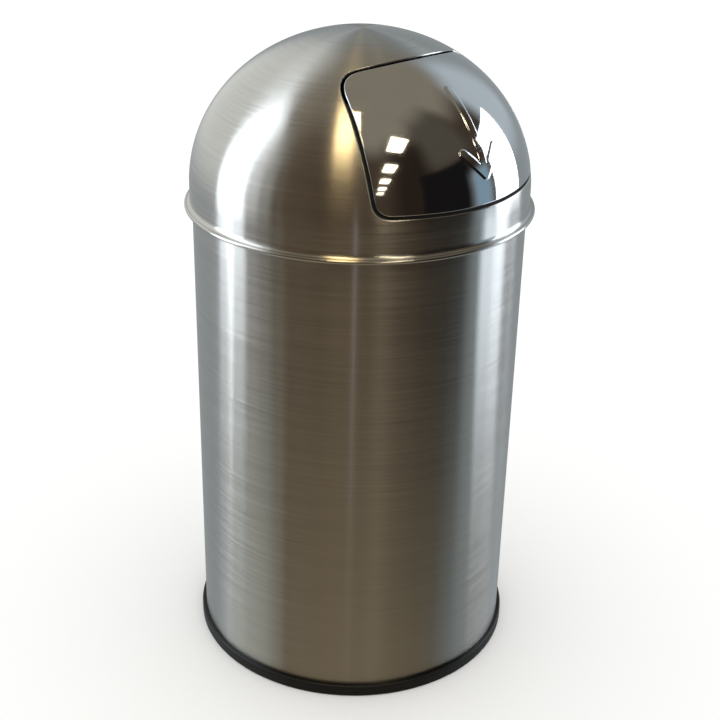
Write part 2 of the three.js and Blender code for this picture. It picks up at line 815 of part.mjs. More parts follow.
/** The bail's centre line: a half circle over the rim with its ends bent out through the ears. */
class BailLine extends THREE.Curve {
  constructor() {
    super();
    this.tail = earOuter + bailTail - rimCentre - bailBend;
    this.corner = (Math.PI / 2) * bailBend;
    this.start = Math.asin(bailBend / rimCentre);
    this.half = (Math.PI / 2 - this.start) * rimCentre;
    const spread = (from, length, steps) => (
      Array.from({ length: steps }, (_, i) => from + (length * i) / steps)
    );
    const side = [
      0,
      ...spread(this.tail, this.corner, bendSteps),
      ...spread(this.tail + this.corner, this.half, bailSteps),
    ];
    this.length = 2 * (this.tail + this.corner + this.half);
    this.runs = [...side, this.length / 2, ...side.map((run) => this.length - run).reverse()];
    this.steps = this.runs.length - 1;
  }

  /** Sections lie at the chosen runs, closer together in the bends. */
  getUtoTmapping(u) {
    return u;
  }

  getPoint(t, target = new THREE.Vector3()) {
    const place = Math.min(Math.max(t, 0), 1) * this.steps;
    const index = Math.min(Math.floor(place), this.steps - 1);
    const whole = THREE.MathUtils.lerp(this.runs[index], this.runs[index + 1], place - index);
    const side = whole < this.length / 2 ? 1 : -1;
    const run = side > 0 ? whole : this.length - whole;
    const bendX = rimCentre + bailBend;
    if (run < this.tail) return target.set(side * (bendX + this.tail - run), 0, eyeHeight);
    if (run < this.tail + this.corner) {
      const turn = (run - this.tail) / bailBend;
      const x = bendX - bailBend * Math.sin(turn);
      return target.set(side * x, bailBend * (1 - Math.cos(turn)), eyeHeight);
    }
    const angle = this.start + (run - this.tail - this.corner) / rimCentre;
    return target.set(side * rimCentre * Math.cos(angle), rimCentre * Math.sin(angle), eyeHeight);
  }
}

function bailHandle() {
  const curve = new BailLine();
  return wireAlong(curve, bailWire, curve.steps, bailSides);
}

// ---------------------------------------------------------------- materials and the scene graph

const finish = (color, roughness, metalness) => (
  () => new THREE.MeshStandardMaterial({ color, roughness, metalness })
);
const brushedSteel = finish('#b9b7b2', 0.32, 1);
const polishedSteel = finish('#d4d4d2', 0.12, 1);
const blackPlastic = finish('#17181a', 0.5, 0);
const blackRubber = finish('#101112', 0.8, 0);
const zincSteel = finish('#a7abad', 0.45, 1);
const springSteel = finish('#8d8f90', 0.3, 1);

/** A named mesh of a solid. */
function piece(name, solid, material) {
  const mesh = new THREE.Mesh(toGeometry(solid), material());
  mesh.name = name;
  return mesh;
}

/** The same solid on both sides, named left (-X) and right (+X). */
function pair(name, solid, material) {
  return [
    piece(`${name}_left`, mirrored(solid), material),
    piece(`${name}_right`, solid, material),
  ];
}

function group(...meshes) {
  const set = new THREE.Group();
  set.add(...meshes);
  return set;
}

const body = group(
  piece('base_ring', baseRing(), blackPlastic),
  piece('base_pan', basePan(), zincSteel),
  piece('body_shell', bodyShell(), brushedSteel),
);

const lid = group(
  piece('dome_shell', domeShell(), brushedSteel),
  piece('lid_seat_ring', lidSeatRing(), blackPlastic),
  piece('hinge_pin', hingePin(), springSteel),
  ...pair('hinge_bracket', hingeBracket(), zincSteel),
  ...pair('pin_clip', pinClip(), springSteel),
  ...pair('flap_spring', flapSpring(), springSteel),
);

const flap = group(
  piece('flap_skin', flapSkin(), polishedSteel),
  piece('flap_liner', flapLiner(), blackPlastic),
  piece('flap_seal', flapSeal(), blackRubber),
);

const bucket = group(
  piece('inner_bucket', innerBucket(), zincSteel),
  ...pair('bail_ear', bailEar(), zincSteel),
  ...pair('ear_rivet_front', earRivet(rivetPlaces[0]), zincSteel),
  ...pair('ear_rivet_back', earRivet(rivetPlaces[1]), zincSteel),
);

const bail = group(piece('bail_handle', bailHandle(), springSteel));

export default group(body, lid, flap, bucket, bail);
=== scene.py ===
"""Dome top waste receptacle: its visible pieces and finishes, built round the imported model.

Metres, +Z up, origin at the centre of the underside, flap facing -Y.
"""

import math

import bpy
import numpy as np
from mathutils import Matrix, Vector


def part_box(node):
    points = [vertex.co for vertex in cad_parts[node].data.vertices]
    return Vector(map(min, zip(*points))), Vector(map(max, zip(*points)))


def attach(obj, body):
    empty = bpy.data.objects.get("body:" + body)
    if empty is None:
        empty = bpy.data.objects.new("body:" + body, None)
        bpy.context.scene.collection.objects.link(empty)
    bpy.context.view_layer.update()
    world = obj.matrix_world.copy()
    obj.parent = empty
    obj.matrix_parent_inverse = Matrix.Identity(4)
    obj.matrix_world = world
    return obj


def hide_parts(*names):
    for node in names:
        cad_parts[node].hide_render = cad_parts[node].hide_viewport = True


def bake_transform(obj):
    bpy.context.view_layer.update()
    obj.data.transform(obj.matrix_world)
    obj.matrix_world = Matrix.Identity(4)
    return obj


bl_info = {
    "name": "Dome top waste receptacle",
    "version": (1, 0, 0),
    "blender": (4, 5, 0),
    "location": "3D View > Sidebar > Receptacle",
    "description": "Builds the shells, flap, hinge, bucket and studio of a dome top waste receptacle",
    "category": "Add Mesh",
}

MM = 0.001
LOW, HIGH = 0, 1  # the two corners of a box
X, Y, Z = 0, 1, 2  # the coordinates of a corner

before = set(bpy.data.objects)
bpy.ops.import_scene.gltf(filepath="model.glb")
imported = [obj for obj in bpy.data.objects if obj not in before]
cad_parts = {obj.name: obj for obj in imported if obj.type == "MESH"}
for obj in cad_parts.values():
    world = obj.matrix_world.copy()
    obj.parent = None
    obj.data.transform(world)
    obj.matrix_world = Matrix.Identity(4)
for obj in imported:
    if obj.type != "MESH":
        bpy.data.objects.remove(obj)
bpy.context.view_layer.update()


def node_size(node, side, axis):
    """One coordinate of the lowest or the highest corner of a CAD node's box."""
    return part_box(node)[side][axis]


def node_middle(node, axis):
    """The middle of a CAD node's box along one axis."""
    return (node_size(node, LOW, axis) + node_size(node, HIGH, axis)) / 2


# ---------------------------------------------------------------- sizes and colours


class ReceptacleSizes(bpy.types.PropertyGroup):
    """Sizes that the pieces share, in metres."""

    body_radius: bpy.props.FloatProperty(
        name="Body radius", description="Outside radius of the body tube",
        default=node_size("body_shell", HIGH, X), unit="LENGTH")
    body_top: bpy.props.FloatProperty(
        name="Body top", description="Height of the body's mouth",
        default=node_size("body_shell", HIGH, Z), unit="LENGTH")
    lid_radius: bpy.props.FloatProperty(
        name="Lid radius", description="Outside radius of the lid's band and of the dome's foot",
        default=172.4 * MM, unit="LENGTH")
    band_top: bpy.props.FloatProperty(
        name="Band top", description="Height where the lid's straight band turns into the dome",
        default=516.3 * MM, unit="LENGTH")
    dome_top: bpy.props.FloatProperty(
        name="Dome top", description="Height of the top of the dome",
        default=node_size("dome_shell", HIGH, Z), unit="LENGTH")
    brim_radius: bpy.props.FloatProperty(
        name="Brim radius", description="Outside radius of the lid's rolled brim",
        default=node_size("dome_shell", HIGH, X), unit="LENGTH")
    brim_foot: bpy.props.FloatProperty(
        name="Brim foot", description="Height of the underside of the rolled brim",
        default=node_size("dome_shell", LOW, Z), unit="LENGTH")
    lid_sheet: bpy.props.FloatProperty(
        name="Lid sheet", description="Thickness of the lid's and the flap's sheet",
        default=0.8 * MM, unit="LENGTH")
    body_sheet: bpy.props.FloatProperty(
        name="Body sheet", description="Thickness of the body's and the bucket's sheet",
        default=0.6 * MM, unit="LENGTH")
    flap_half_width: bpy.props.FloatProperty(
        name="Flap half width", description="Half of the flap's greatest width",
        default=108.5 * MM, unit="LENGTH")
    flap_top_half_width: bpy.props.FloatProperty(
        name="Flap top half width", description="Half of the flap's width at its upper corners",
        default=82.5 * MM, unit="LENGTH")
    flap_foot: bpy.props.FloatProperty(
        name="Flap foot", description="Height of the middle of the flap's lower edge",
        default=536.5 * MM, unit="LENGTH")
    flap_top: bpy.props.FloatProperty(
        name="Flap top", description="Height of the flap's upper edge",
        default=654.5 * MM, unit="LENGTH")
    flap_gap: bpy.props.FloatProperty(
        name="Flap gap", description="Gap seen all round the flap",
        default=3 * MM, unit="LENGTH")
    hinge_y: bpy.props.FloatProperty(
        name="Hinge place", description="Place of the flap's pin along Y",
        default=node_middle("hinge_pin", Y), unit="LENGTH")
    hinge_z: bpy.props.FloatProperty(
        name="Hinge height", description="Height of the flap's pin",
        default=node_middle("hinge_pin", Z), unit="LENGTH")
    pin_radius: bpy.props.FloatProperty(
        name="Pin radius", description="Radius of the flap's pin",
        default=3 * MM, unit="LENGTH")
    bucket_top: bpy.props.FloatProperty(
        name="Bucket top", description="Height of the bucket's rolled rim",
        default=node_size("inner_bucket", HIGH, Z), unit="LENGTH")
    rim_outer: bpy.props.FloatProperty(
        name="Rim radius", description="Outside radius of the bucket's rolled rim",
        default=node_size("inner_bucket", HIGH, X), unit="LENGTH")
    motif_height: bpy.props.FloatProperty(
        name="Motif height", description="How far the plain arrow stands out of the flap",
        default=0.9 * MM, unit="LENGTH")


class ReceptacleColours(bpy.types.PropertyGroup):
    """Colours as sRGB hex values."""

    brushed: bpy.props.StringProperty(
        name="Brushed steel", description="Colour of the body's and the lid's steel", default="c6c4bf")
    polished: bpy.props.StringProperty(
        name="Polished steel", description="Colour of the flap's steel", default="cfd0d0")
    plastic: bpy.props.StringProperty(
        name="Black plastic", description="Colour of the base ring and moulded pieces", default="111111")
    rubber: bpy.props.StringProperty(
        name="Black rubber", description="Colour of the strip round the flap", default="0d0d0e")
    zinc: bpy.props.StringProperty(
        name="Zinc", description="Colour of the plated sheet pieces", default="b4b9bb")
    wire: bpy.props.StringProperty(
        name="Spring steel", description="Colour of the pin, clips, springs and bail", default="8f9192")
    floor: bpy.props.StringProperty(
        name="Floor", description="Colour of the studio's floor", default="f2f2f1")


def sizes():
    """The scene's sizes."""
    return bpy.context.scene.receptacle_sizes


def colours():
    """The scene's colours."""
    return bpy.context.scene.receptacle_colours


# ---------------------------------------------------------------- meshes from arrays


def grid_faces(rows, columns, around_rows=False, around_columns=True):
    """Quads of a grid of points stored row by row.

    A face joins points (i, j), (i, j+1), (i+1, j+1) and (i+1, j), with i and j counted round
    where the grid is closed that way.
    """
    last_row = rows if around_rows else rows - 1
    last_column = columns if around_columns else columns - 1
    i, j = np.meshgrid(np.arange(last_row), np.arange(last_column), indexing="ij")
    next_i, next_j = (i + 1) % rows, (j + 1) % columns
    corners = [i * columns + j, i * columns + next_j, next_i * columns + next_j, next_i * columns + j]
    return np.stack(corners, axis=-1).reshape(-1, 4)


def looped(grid):
    """A closed shell from rows of points: closed round its rows and round its columns."""
    rows, columns = grid.shape[:2]
    return grid.reshape(-1, 3), grid_faces(rows, columns, around_rows=True), []


def capped(grid):
    """A closed shell from rows of points: closed round its columns, its first and last row filled."""
    rows, columns = grid.shape[:2]
    first, last = np.arange(columns), (rows - 1) * columns + np.arange(columns)
    return grid.reshape(-1, 3), grid_faces(rows, columns), [first.tolist(), last.tolist()]


def mesh_volume(points, faces):
    """Signed volume inside quads, the sum of the tetrahedra from the origin to each half of a face."""
    a, b, c, d = (points[faces[:, k]] for k in range(4))
    halves = np.einsum("ij,ij->i", a, np.cross(b, c)) + np.einsum("ij,ij->i", a, np.cross(c, d))
    return halves.sum() / 6


def make_piece(name, shells, runs=None):
    """A smooth mesh of one or more closed shells, each (points, quads, caps).

    Quads are an array of four indices a face; caps are lists of indices, or empty. A shell whose
    volume comes out negative is turned round, so that every face points outwards. runs is the
    distance along the surface's own profile at each point, kept as the attribute that the
    brushed finish reads.
    """
    all_points, all_faces, start = [], [], 0
    for points, quads, caps in shells:
        fans = [[cap[0], cap[k], cap[k + 1], cap[k + 1]] for cap in caps for k in range(1, len(cap) - 1)]
        closed = np.concatenate([quads, np.array(fans, int).reshape(-1, 4)])
        flip = mesh_volume(points, closed) < 0
        faces = quads[:, ::-1] if flip else quads
        all_faces.extend((faces + start).tolist())
        all_faces.extend([[k + start for k in (cap[::-1] if flip else cap)] for cap in caps])
        all_points.append(points)
        start += len(points)
    mesh = bpy.data.meshes.new(name)
    mesh.from_pydata(np.concatenate(all_points).tolist(), [], all_faces)
    mesh.polygons.foreach_set("use_smooth", np.ones(len(mesh.polygons), bool))
    if runs is not None:
        layer = mesh.attributes.new("run", "FLOAT", "POINT")
        layer.data.foreach_set("value", np.asarray(runs, np.float32).ravel())
    mesh.validate()
    mesh.update()
    piece = bpy.data.objects.new(name, mesh)
    bpy.context.scene.collection.objects.link(piece)
    return piece


def dress(piece, slot, *nodes):
    """The piece takes its slot's finish and stands for its CAD nodes."""
    piece.data.materials.append(finish(slot))
    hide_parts(*nodes)


def place(piece, body, slot, *nodes):
    """The piece rides on its body, takes its slot's finish and stands for its CAD nodes."""
    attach(piece, body)
    dress(piece, slot, *nodes)


# ---------------------------------------------------------------- profiles and turned pieces


def unit(vectors):
    """The vectors divided by their lengths."""
    return vectors / np.linalg.norm(vectors, axis=-1, keepdims=True)


def run_along(line):
    """The distance along a line of points, at each of them."""
    return np.concatenate([[0], np.cumsum(np.linalg.norm(np.diff(line, axis=0), axis=1))])


def smooth(share):
    """A soft step from 0 to 1: t^2 (3 - 2t), with t the share kept between 0 and 1."""
    t = np.clip(share, 0, 1)
    return t * t * (3 - 2 * t)


def bent(a, corner, b, steps):
    """Points of the curve (1-t)^2 a + 2t(1-t) corner + t^2 b, for even t from 0 to 1."""
    t = np.linspace(0, 1, steps + 1)[:, None]
    return (1 - t) ** 2 * a + 2 * t * (1 - t) * corner + t ** 2 * b


def arc(centre, radius, start, end, steps):
    """Points centre + radius (cos a, sin a), with a running evenly from start to end degrees."""
    angle = np.radians(np.linspace(start, end, steps + 1))
    return np.stack([centre[0] + radius * np.cos(angle), centre[1] + radius * np.sin(angle)], axis=1)


def rounded(corners, steps=4, hold=0.35 * MM):
    """A closed outline of (x, y, radius) corners with each corner rounded.

    A corner's arc is the curve bent over it between the points that lie radius x tan(half the
    turn) before and after it on its two sides, or nearly half a side where that is less. A further
    point holds each side straight just outside the arc.
    """
    most_of_side, most_of_rest = 0.49, 0.4
    corners = np.asarray(corners, float)
    outline = []
    for i, (x, y, radius) in enumerate(corners):
        here = np.array([x, y])
        before, after = corners[i - 1, :2] - here, corners[(i + 1) % len(corners), :2] - here
        long_before, long_after = np.linalg.norm(before), np.linalg.norm(after)
        before, after = before / long_before, after / long_after
        if radius <= 0:
            outline.append(here[None])
            continue
        half_turn = (math.pi - math.acos(float(np.clip(before @ after, -1, 1)))) / 2
        reach = min(radius * math.tan(half_turn), most_of_side * long_before, most_of_side * long_after)
        a, b = here + before * reach, here + after * reach
        held_before = a + before * min(hold, most_of_rest * (long_before - reach))
        held_after = b + after * min(hold, most_of_rest * (long_after - reach))
        outline += [held_before[None], bent(a, here, b, steps), held_after[None]]
    return np.concatenate(outline)


def finer(line, step, closed=False):
    """The line with points added evenly along each of its runs longer than step."""
    ends = np.concatenate([line, line[:1]]) if closed else line
    parts = []
    for a, b in zip(ends[:-1], ends[1:]):
        count = max(int(np.linalg.norm(b - a) / step), 1)
        parts.append(a + (b - a) * (np.arange(count) / count)[:, None])
    return np.concatenate(parts if closed else parts + [ends[-1:]])


def beside(line, distance):
    """The line moved to its right by a distance, along normals from each point's neighbours."""
    along = unit(np.gradient(line, axis=0))
    return line + distance * np.stack([along[:, 1], -along[:, 0]], axis=1)


def sheet_profile(line, thickness):
    """A closed profile of sheet: the line, and back along the line moved right by the thickness."""
    return np.concatenate([line, beside(line, thickness)[::-1]])


def turn(profile, columns):
    """Rows of points of a (radius, height) profile turned round Z: (r cos a, r sin a, z), a even."""
    angle = np.linspace(0, 2 * math.pi, columns, endpoint=False)
    radius, height = profile[:, :1], profile[:, 1:]
    return np.stack([radius * np.cos(angle), radius * np.sin(angle), height + 0 * angle], axis=-1)


def turned_shell(profile, columns):
    """A ring: a closed profile that stays clear of the axis, turned."""
    return looped(turn(profile, columns))


def turned_cup(line, columns):
    """A shape whose profile starts and ends near the axis, closed there by two flat caps."""
    return capped(turn(line, columns))


def along_x(shell, y=0, z=0):
    """A shell turned so that its Z axis lies along X, and moved to (0, y, z)."""
    points, faces, caps = shell
    return np.stack([points[:, 2], points[:, 0] + y, points[:, 1] + z], axis=1), faces, caps


def mirrored(shell):
    """A shell reflected in the plane x = 0, with its faces turned to match."""
    points, faces, caps = shell
    return points * np.array([-1, 1, 1]), faces[:, ::-1], [cap[::-1] for cap in caps]


def on_side(shell, side):
    """A shell that is worked out on the right, kept there for side 1 or mirrored for side -1."""
    return shell if side > 0 else mirrored(shell)


def tube(path, radius, reference, sides):
    """A round wire along a path: path + radius (cos a N + sin a B), with chamfered flat ends.

    T is the path's direction, N the part of the reference square to T, and B = T x N.
    """
    tangent = unit(np.gradient(path, axis=0))
    normal = unit(reference - tangent * (tangent @ reference)[:, None])
    binormal = np.cross(tangent, normal)
    angle = np.linspace(0, 2 * math.pi, sides, endpoint=False)[None, :, None]
    ring = np.cos(angle) * normal[:, None] + np.sin(angle) * binormal[:, None]
    chamfer = 0.25 * radius
    centres = np.concatenate([path[:1], path, path[-1:]])
    rings = np.concatenate([ring[:1], ring, ring[-1:]])
    widths = np.full(len(centres), radius)
    widths[[0, -1]] = radius - chamfer
    centres[1] += tangent[0] * chamfer
    centres[-2] -= tangent[-1] * chamfer
    return capped(centres[:, None] + widths[:, None, None] * rings)


def plate(outline, start, end, edge):
    """A flat plate: a closed outline drawn at four levels, inset by the edge at the outer two."""
    inner = inset_outline(outline, edge)
    levels = [(inner, start), (outline, start + edge), (outline, end - edge), (inner, end)]
    return capped(np.stack([np.column_stack([line, np.full(len(line), at)]) for line, at in levels]))


def inset_outline(outline, distance):
    """A closed outline moved inwards along the normals from each point's two neighbours."""
    along = unit(np.roll(outline, -1, axis=0) - np.roll(outline, 1, axis=0))
    inwards = np.stack([-along[:, 1], along[:, 0]], axis=1)
    x, y = outline[:, 0], outline[:, 1]
    area = (x * np.roll(y, -1) - np.roll(x, -1) * y).sum()
    return outline + math.copysign(distance, area) * inwards


# ---------------------------------------------------------------- the dome and the flap's outline

PRESS = math.radians(20)  # tilt of the line along which the flap's outline is pressed onto the dome
SILL_BOW = 14.2 * MM  # how far the flap's lower edge rises from its middle to its corners
FLAP_WIDEST = 20 * MM  # height over the sill where the flap is widest
LOWER_CORNER = 13 * MM
UPPER_CORNER = 20 * MM
CENTRE_DROP = 6 * MM  # how far the flap's centre lies under the middle of its height
COLUMNS = 384  # points round the flap's outline


def dome_rise():
    """The height of the dome over the lid's band."""
    return sizes().dome_top - sizes().band_top


def dome_axes():
    """The half axes of the dome's ellipsoid."""
    return np.array([sizes().lid_radius, sizes().lid_radius, dome_rise()])


def to_ball(points):
    """Points of the dome's half ellipsoid as points of the unit ball."""
    return (points - np.array([0, 0, sizes().band_top])) / dome_axes()


def from_ball(points):
    """Points of the unit ball as points of the dome's ellipsoid."""
    return points * dome_axes() + np.array([0, 0, sizes().band_top])


def onto_dome(points):
    """Points pushed onto the dome, along the lines to the centre of its foot."""
    return from_ball(unit(to_ball(points)))


def dome_normal(points):
    """The dome's outward direction: the ellipsoid's gradient (x/R^2, y/R^2, z/H^2), made unit."""
    slope = to_ball(points) / dome_axes()
    slope[..., 2] = np.maximum(slope[..., 2], 0)
    return unit(slope)


def dome_front(x, z):
    """The point on the front of the dome at a given x and z."""
    s = sizes()
    radius = s.lid_radius * math.sqrt(1 - ((z - s.band_top) / dome_rise()) ** 2)
    return np.array([x, -math.sqrt(radius ** 2 - x ** 2), z])


def press_point():
    """The middle of the flap's sill, and the outline's height from there to its top."""
    s = sizes()
    sill, head = dome_front(0, s.flap_foot), dome_front(0, s.flap_top)
    rise = head - sill
    return sill, rise[1] * math.sin(PRESS) + rise[2] * math.cos(PRESS)


def pressed_onto_dome(outline):
    """Outline points (x, v) carried onto the dome along the press line.

    A point starts at the sill plus v up the press plane, and runs along (0, -cos p, sin p) until
    (x/R)^2 + (y/R)^2 + (z/H)^2 = 1, whose greater root is the front of the dome.
    """
    s = sizes()
    sill, _ = press_point()
    radius, rise = s.lid_radius, dome_rise()
    x, v = outline[:, 0], outline[:, 1]
    y = sill[1] + v * math.sin(PRESS)
    z = sill[2] + v * math.cos(PRESS) - s.band_top
    step_y, step_z = -math.cos(PRESS), math.sin(PRESS)
    a = (step_y / radius) ** 2 + (step_z / rise) ** 2
    b = y * step_y / radius ** 2 + z * step_z / rise ** 2
    c = (x ** 2 + y ** 2) / radius ** 2 + (z / rise) ** 2 - 1
    run = (np.sqrt(np.maximum(b ** 2 - a * c, 0)) - b) / a
    return np.stack([x, y + run * step_y, z + run * step_z + s.band_top], axis=1)


def flap_outline():
    """The flap's flat outline (x, v): a bowed sill, bowed sides, a straight top, rounded corners.

    The sill rises as b (x/w)^2; the half width falls from its widest as the square of the height.
    """
    s = sizes()
    _, length = press_point()
    half, top = s.flap_half_width, s.flap_top_half_width
    edge_points, head_points, corner_steps = 80, 60, 39
    x = np.linspace(0, half - LOWER_CORNER, edge_points)
    sill = np.stack([x, SILL_BOW * (x / half) ** 2], axis=1)
    v = np.linspace(SILL_BOW + LOWER_CORNER, length - UPPER_CORNER, edge_points)
    drawn_in = (np.maximum(v - FLAP_WIDEST, 0) / (length - FLAP_WIDEST)) ** 2
    side = np.stack([half - (half - top) * drawn_in, v], axis=1)
    x = np.linspace(top - UPPER_CORNER, 0, head_points)
    head = np.stack([x, np.full(len(x), length)], axis=1)
    lower_corner = bent(sill[-1], np.array([half, SILL_BOW]), side[0], corner_steps)[1:-1]
    upper_corner = bent(side[-1], np.array([top, length]), head[0], corner_steps)[1:-1]
    right = np.concatenate([sill, lower_corner, side, upper_corner, head])
    left = right[1:-1][::-1] * np.array([-1, 1])
    return np.concatenate([right, left])


def even_loop(loop, count):
    """A closed loop of points resampled at even distances along it."""
    closed = np.concatenate([loop, loop[:1]])
    run = run_along(closed)
    at = np.linspace(0, run[-1], count, endpoint=False)
    return np.stack([np.interp(at, run, closed[:, k]) for k in range(closed.shape[1])], axis=1)


def flap_frame():
    """The flap's outline on the dome, and the direction along the dome square out of it."""
    loop = even_loop(pressed_onto_dome(flap_outline()), COLUMNS)
    along = np.roll(loop, -1, axis=0) - np.roll(loop, 1, axis=0)
    return loop, unit(np.cross(along, dome_normal(loop)))


def by_the_flap(places):
    """Rows of points round the flap: each place is (growth out of the outline, depth under the dome).

    The outline is moved out along the dome by the growth, pushed back onto it, and then moved
    inwards along the dome's normal by the depth. Each may be one number or one for each column.
    """
    loop, outwards = flap_frame()
    rows = []
    for growth, depth in places:
        moved = onto_dome(loop + np.asarray(growth).reshape(-1, 1) * outwards)
        rows.append(moved - np.asarray(depth).reshape(-1, 1) * dome_normal(moved))
    return np.stack(rows)


def flap_centre():
    """The direction on the unit ball of the middle of the flap."""
    s = sizes()
    return unit(to_ball(dome_front(0, (s.flap_foot + s.flap_top) / 2 - CENTRE_DROP)))


def great_arcs(edge):
    """For edge points on the dome: the flap's centre c, the way out w and the angle t of each.

    The arc c cos t + w sin t of the unit ball passes through the edge point.
    """
    centre = flap_centre()
    ball = unit(to_ball(edge))
    way = unit(ball - (ball @ centre)[:, None] * centre)
    angle = np.arctan2(np.einsum("ij,ij->i", ball, way), ball @ centre)
    return centre, way, angle


def on_arcs(centre, way, angles):
    """Points of the dome on each column's arc, for rows of angles."""
    ball = np.cos(angles)[..., None] * centre + np.sin(angles)[..., None] * way
    return from_ball(ball)


def meridian_run(points):
    """Distance along the lid's profile from the top of the dome down to each point's level.

    Over the dome it is the length of (R cos a, H sin a), summed in small steps and read back at
    each point's angle, atan2(z / H, r / R); below the dome the drop in height is added.
    """
    s = sizes()
    steps = 400
    angle = np.linspace(math.pi / 2, 0, steps)
    length = run_along(np.stack([s.lid_radius * np.cos(angle), dome_rise() * np.sin(angle)], axis=1))
    radius = np.hypot(points[..., 0], points[..., 1])
    share = np.arctan2((points[..., 2] - s.band_top) / dome_rise(), radius / s.lid_radius)
    over = np.interp(math.pi / 2 - np.maximum(share, 0), math.pi / 2 - angle, length)
    return over + np.maximum(s.band_top - points[..., 2], 0)


# ---------------------------------------------------------------- materials


def linear(code):
    """An sRGB hex colour as linear values: ((c + 0.055) / 1.055)^2.4, or c / 12.92 near black."""
    values = [int(code[k:k + 2], 16) / 255 for k in (0, 2, 4)]
    return [((c + 0.055) / 1.055) ** 2.4 if c > 0.04045 else c / 12.92 for c in values] + [1.0]


def add_node(tree, kind, settings=None, inputs=None):
    """Adds a node, sets its properties, and sets or links its inputs.

    An input is given by name or number, with either a value or another node's output socket.
    """
    node = tree.nodes.new(kind)
    for key, value in (settings or {}).items():
        setattr(node, key, value)
    for key, value in (inputs or {}).items():
        if isinstance(value, bpy.types.NodeSocket):
            tree.links.new(value, node.inputs[key])
        else:
            node.inputs[key].default_value = value
    return node


def new_material(name):
    """A material with an empty node tree, and that tree."""
    material = bpy.data.materials.new(name)
    material.use_nodes = True
    material.node_tree.nodes.clear()
    return material, material.node_tree


def shade(tree, inputs):
    """A principled shader with these inputs, joined to the material's output."""
    shader = add_node(tree, "ShaderNodeBsdfPrincipled", None, inputs)
    add_node(tree, "ShaderNodeOutputMaterial", None, {"Surface": shader.outputs["BSDF"]})


def place_on_piece(tree):
    """The place on the piece, in metres of the shared frame."""
    return add_node(tree, "ShaderNodeTexCoord").outputs["Object"]


def noise(tree, place_at, cell, detail, **inputs):
    """Noise from 0 to 1 whose cells are so many metres across."""
    return add_node(tree, "ShaderNodeTexNoise", None,
                    {"Vector": place_at, "Scale": 1 / cell, "Detail": detail, **inputs}).outputs["Fac"]


def bumpy(tree, height, strength, distance, **inputs):
    """The surface's normal, bent by a height pattern from 0 to 1."""
    return add_node(tree, "ShaderNodeBump", None,
                    {"Height": height, "Strength": strength, "Distance": distance, **inputs}).outputs[0]


def maths(tree, operation, *values):
    """The result of one step of arithmetic."""
    return add_node(tree, "ShaderNodeMath", {"operation": operation}, dict(enumerate(values))).outputs[0]


def tinted(tree, pattern, code, dark, light):
    """The colour, made darker and lighter with a pattern from 0 to 1."""
    base = np.array(linear(code)[:3])
    low = list(base * dark) + [1.0]
    high = list(np.minimum(base * light, 1)) + [1.0]
    return add_node(tree, "ShaderNodeMix", {"data_type": "RGBA"}, {0: pattern, 6: low, 7: high}).outputs[2]


def ranged(tree, pattern, low, high, start=0.0, end=1.0):
    """A pattern's part from start to end carried to the range from low to high."""
    return add_node(tree, "ShaderNodeMapRange", None,
                    {"Value": pattern, "From Min": start, "From Max": end,
                     "To Min": low, "To Max": high}).outputs["Result"]


def round_direction(tree, position):
    """The direction round the bin's axis, Z x position, in world space for the shader's tangent."""
    round_axis = add_node(tree, "ShaderNodeVectorMath", {"operation": "CROSS_PRODUCT"},
                          {0: (0, 0, 1), 1: position})
    return add_node(tree, "ShaderNodeVectorTransform",
                    {"vector_type": "VECTOR", "convert_from": "OBJECT", "convert_to": "WORLD"},
                    {0: round_axis.outputs[0]}).outputs[0]


def brushed_steel(name):
    """Stainless steel 430, brushed round the axis with a belt.

    The scratches run round the bin, so lights are drawn out up and down in long soft bands that
    meet at the top of the dome. Single scratches lie about 0.2 mm apart; what the eye sees from a
    step away, and what is drawn, are bundles of them 1.5 mm wide and broader passes of the belt.
    """
    material, tree = new_material(name)
    position = place_on_piece(tree)
    run = add_node(tree, "ShaderNodeAttribute", {"attribute_name": "run"}).outputs["Fac"]
    scratch_length = 110 * MM
    across = add_node(tree, "ShaderNodeVectorMath", {"operation": "SCALE"},
                      {0: position, "Scale": 1 / scratch_length})
    flat = add_node(tree, "ShaderNodeSeparateXYZ", None, {0: across.outputs[0]}).outputs

    def scratches(spacing):
        """Noise with one cell each spacing along the run and each scratch length round the bin."""
        level = maths(tree, "MULTIPLY", run, 1 / spacing)
        vector = add_node(tree, "ShaderNodeCombineXYZ", None,
                          {"X": flat["X"], "Y": flat["Y"], "Z": level})
        return noise(tree, vector.outputs[0], 1.0, 2.0, Roughness=0.6)

    fine, broad = scratches(1.5 * MM), scratches(9 * MM)
    blend = add_node(tree, "ShaderNodeMix", None, {0: 0.3, 2: fine, 3: broad}).outputs[0]
    marks = ranged(tree, blend, 0.0, 1.0, 0.25, 0.75)
    dents = bumpy(tree, noise(tree, position, 160 * MM, 1.0), 0.25, 0.6 * MM)
    shade(tree, {
        "Base Color": tinted(tree, marks, colours().brushed, 0.9, 1.07),
        "Metallic": 1.0,
        "Roughness": ranged(tree, marks, 0.21, 0.27),
        "Anisotropic": 0.96,
        "Anisotropic Rotation": 0.25,
        "Tangent": round_direction(tree, position),
        "Normal": bumpy(tree, fine, 0.08, 0.02 * MM, Normal=dents),
    })
    return material


def polished_steel(name):
    """Stainless steel 304, pressed and mirror polished: sharp reflections with faint wipe marks."""
    material, tree = new_material(name)
    position = place_on_piece(tree)
    smears = noise(tree, position, 45 * MM, 4.0, Roughness=0.55, Distortion=0.8)
    ripple = noise(tree, position, 60 * MM, 0.0)
    shade(tree, {
        "Base Color": tinted(tree, smears, colours().polished, 0.95, 1.03),
        "Metallic": 1.0,
        "Roughness": ranged(tree, smears, 0.03, 0.085),
        "Normal": bumpy(tree, ripple, 0.2, 0.25 * MM),
    })
    return material


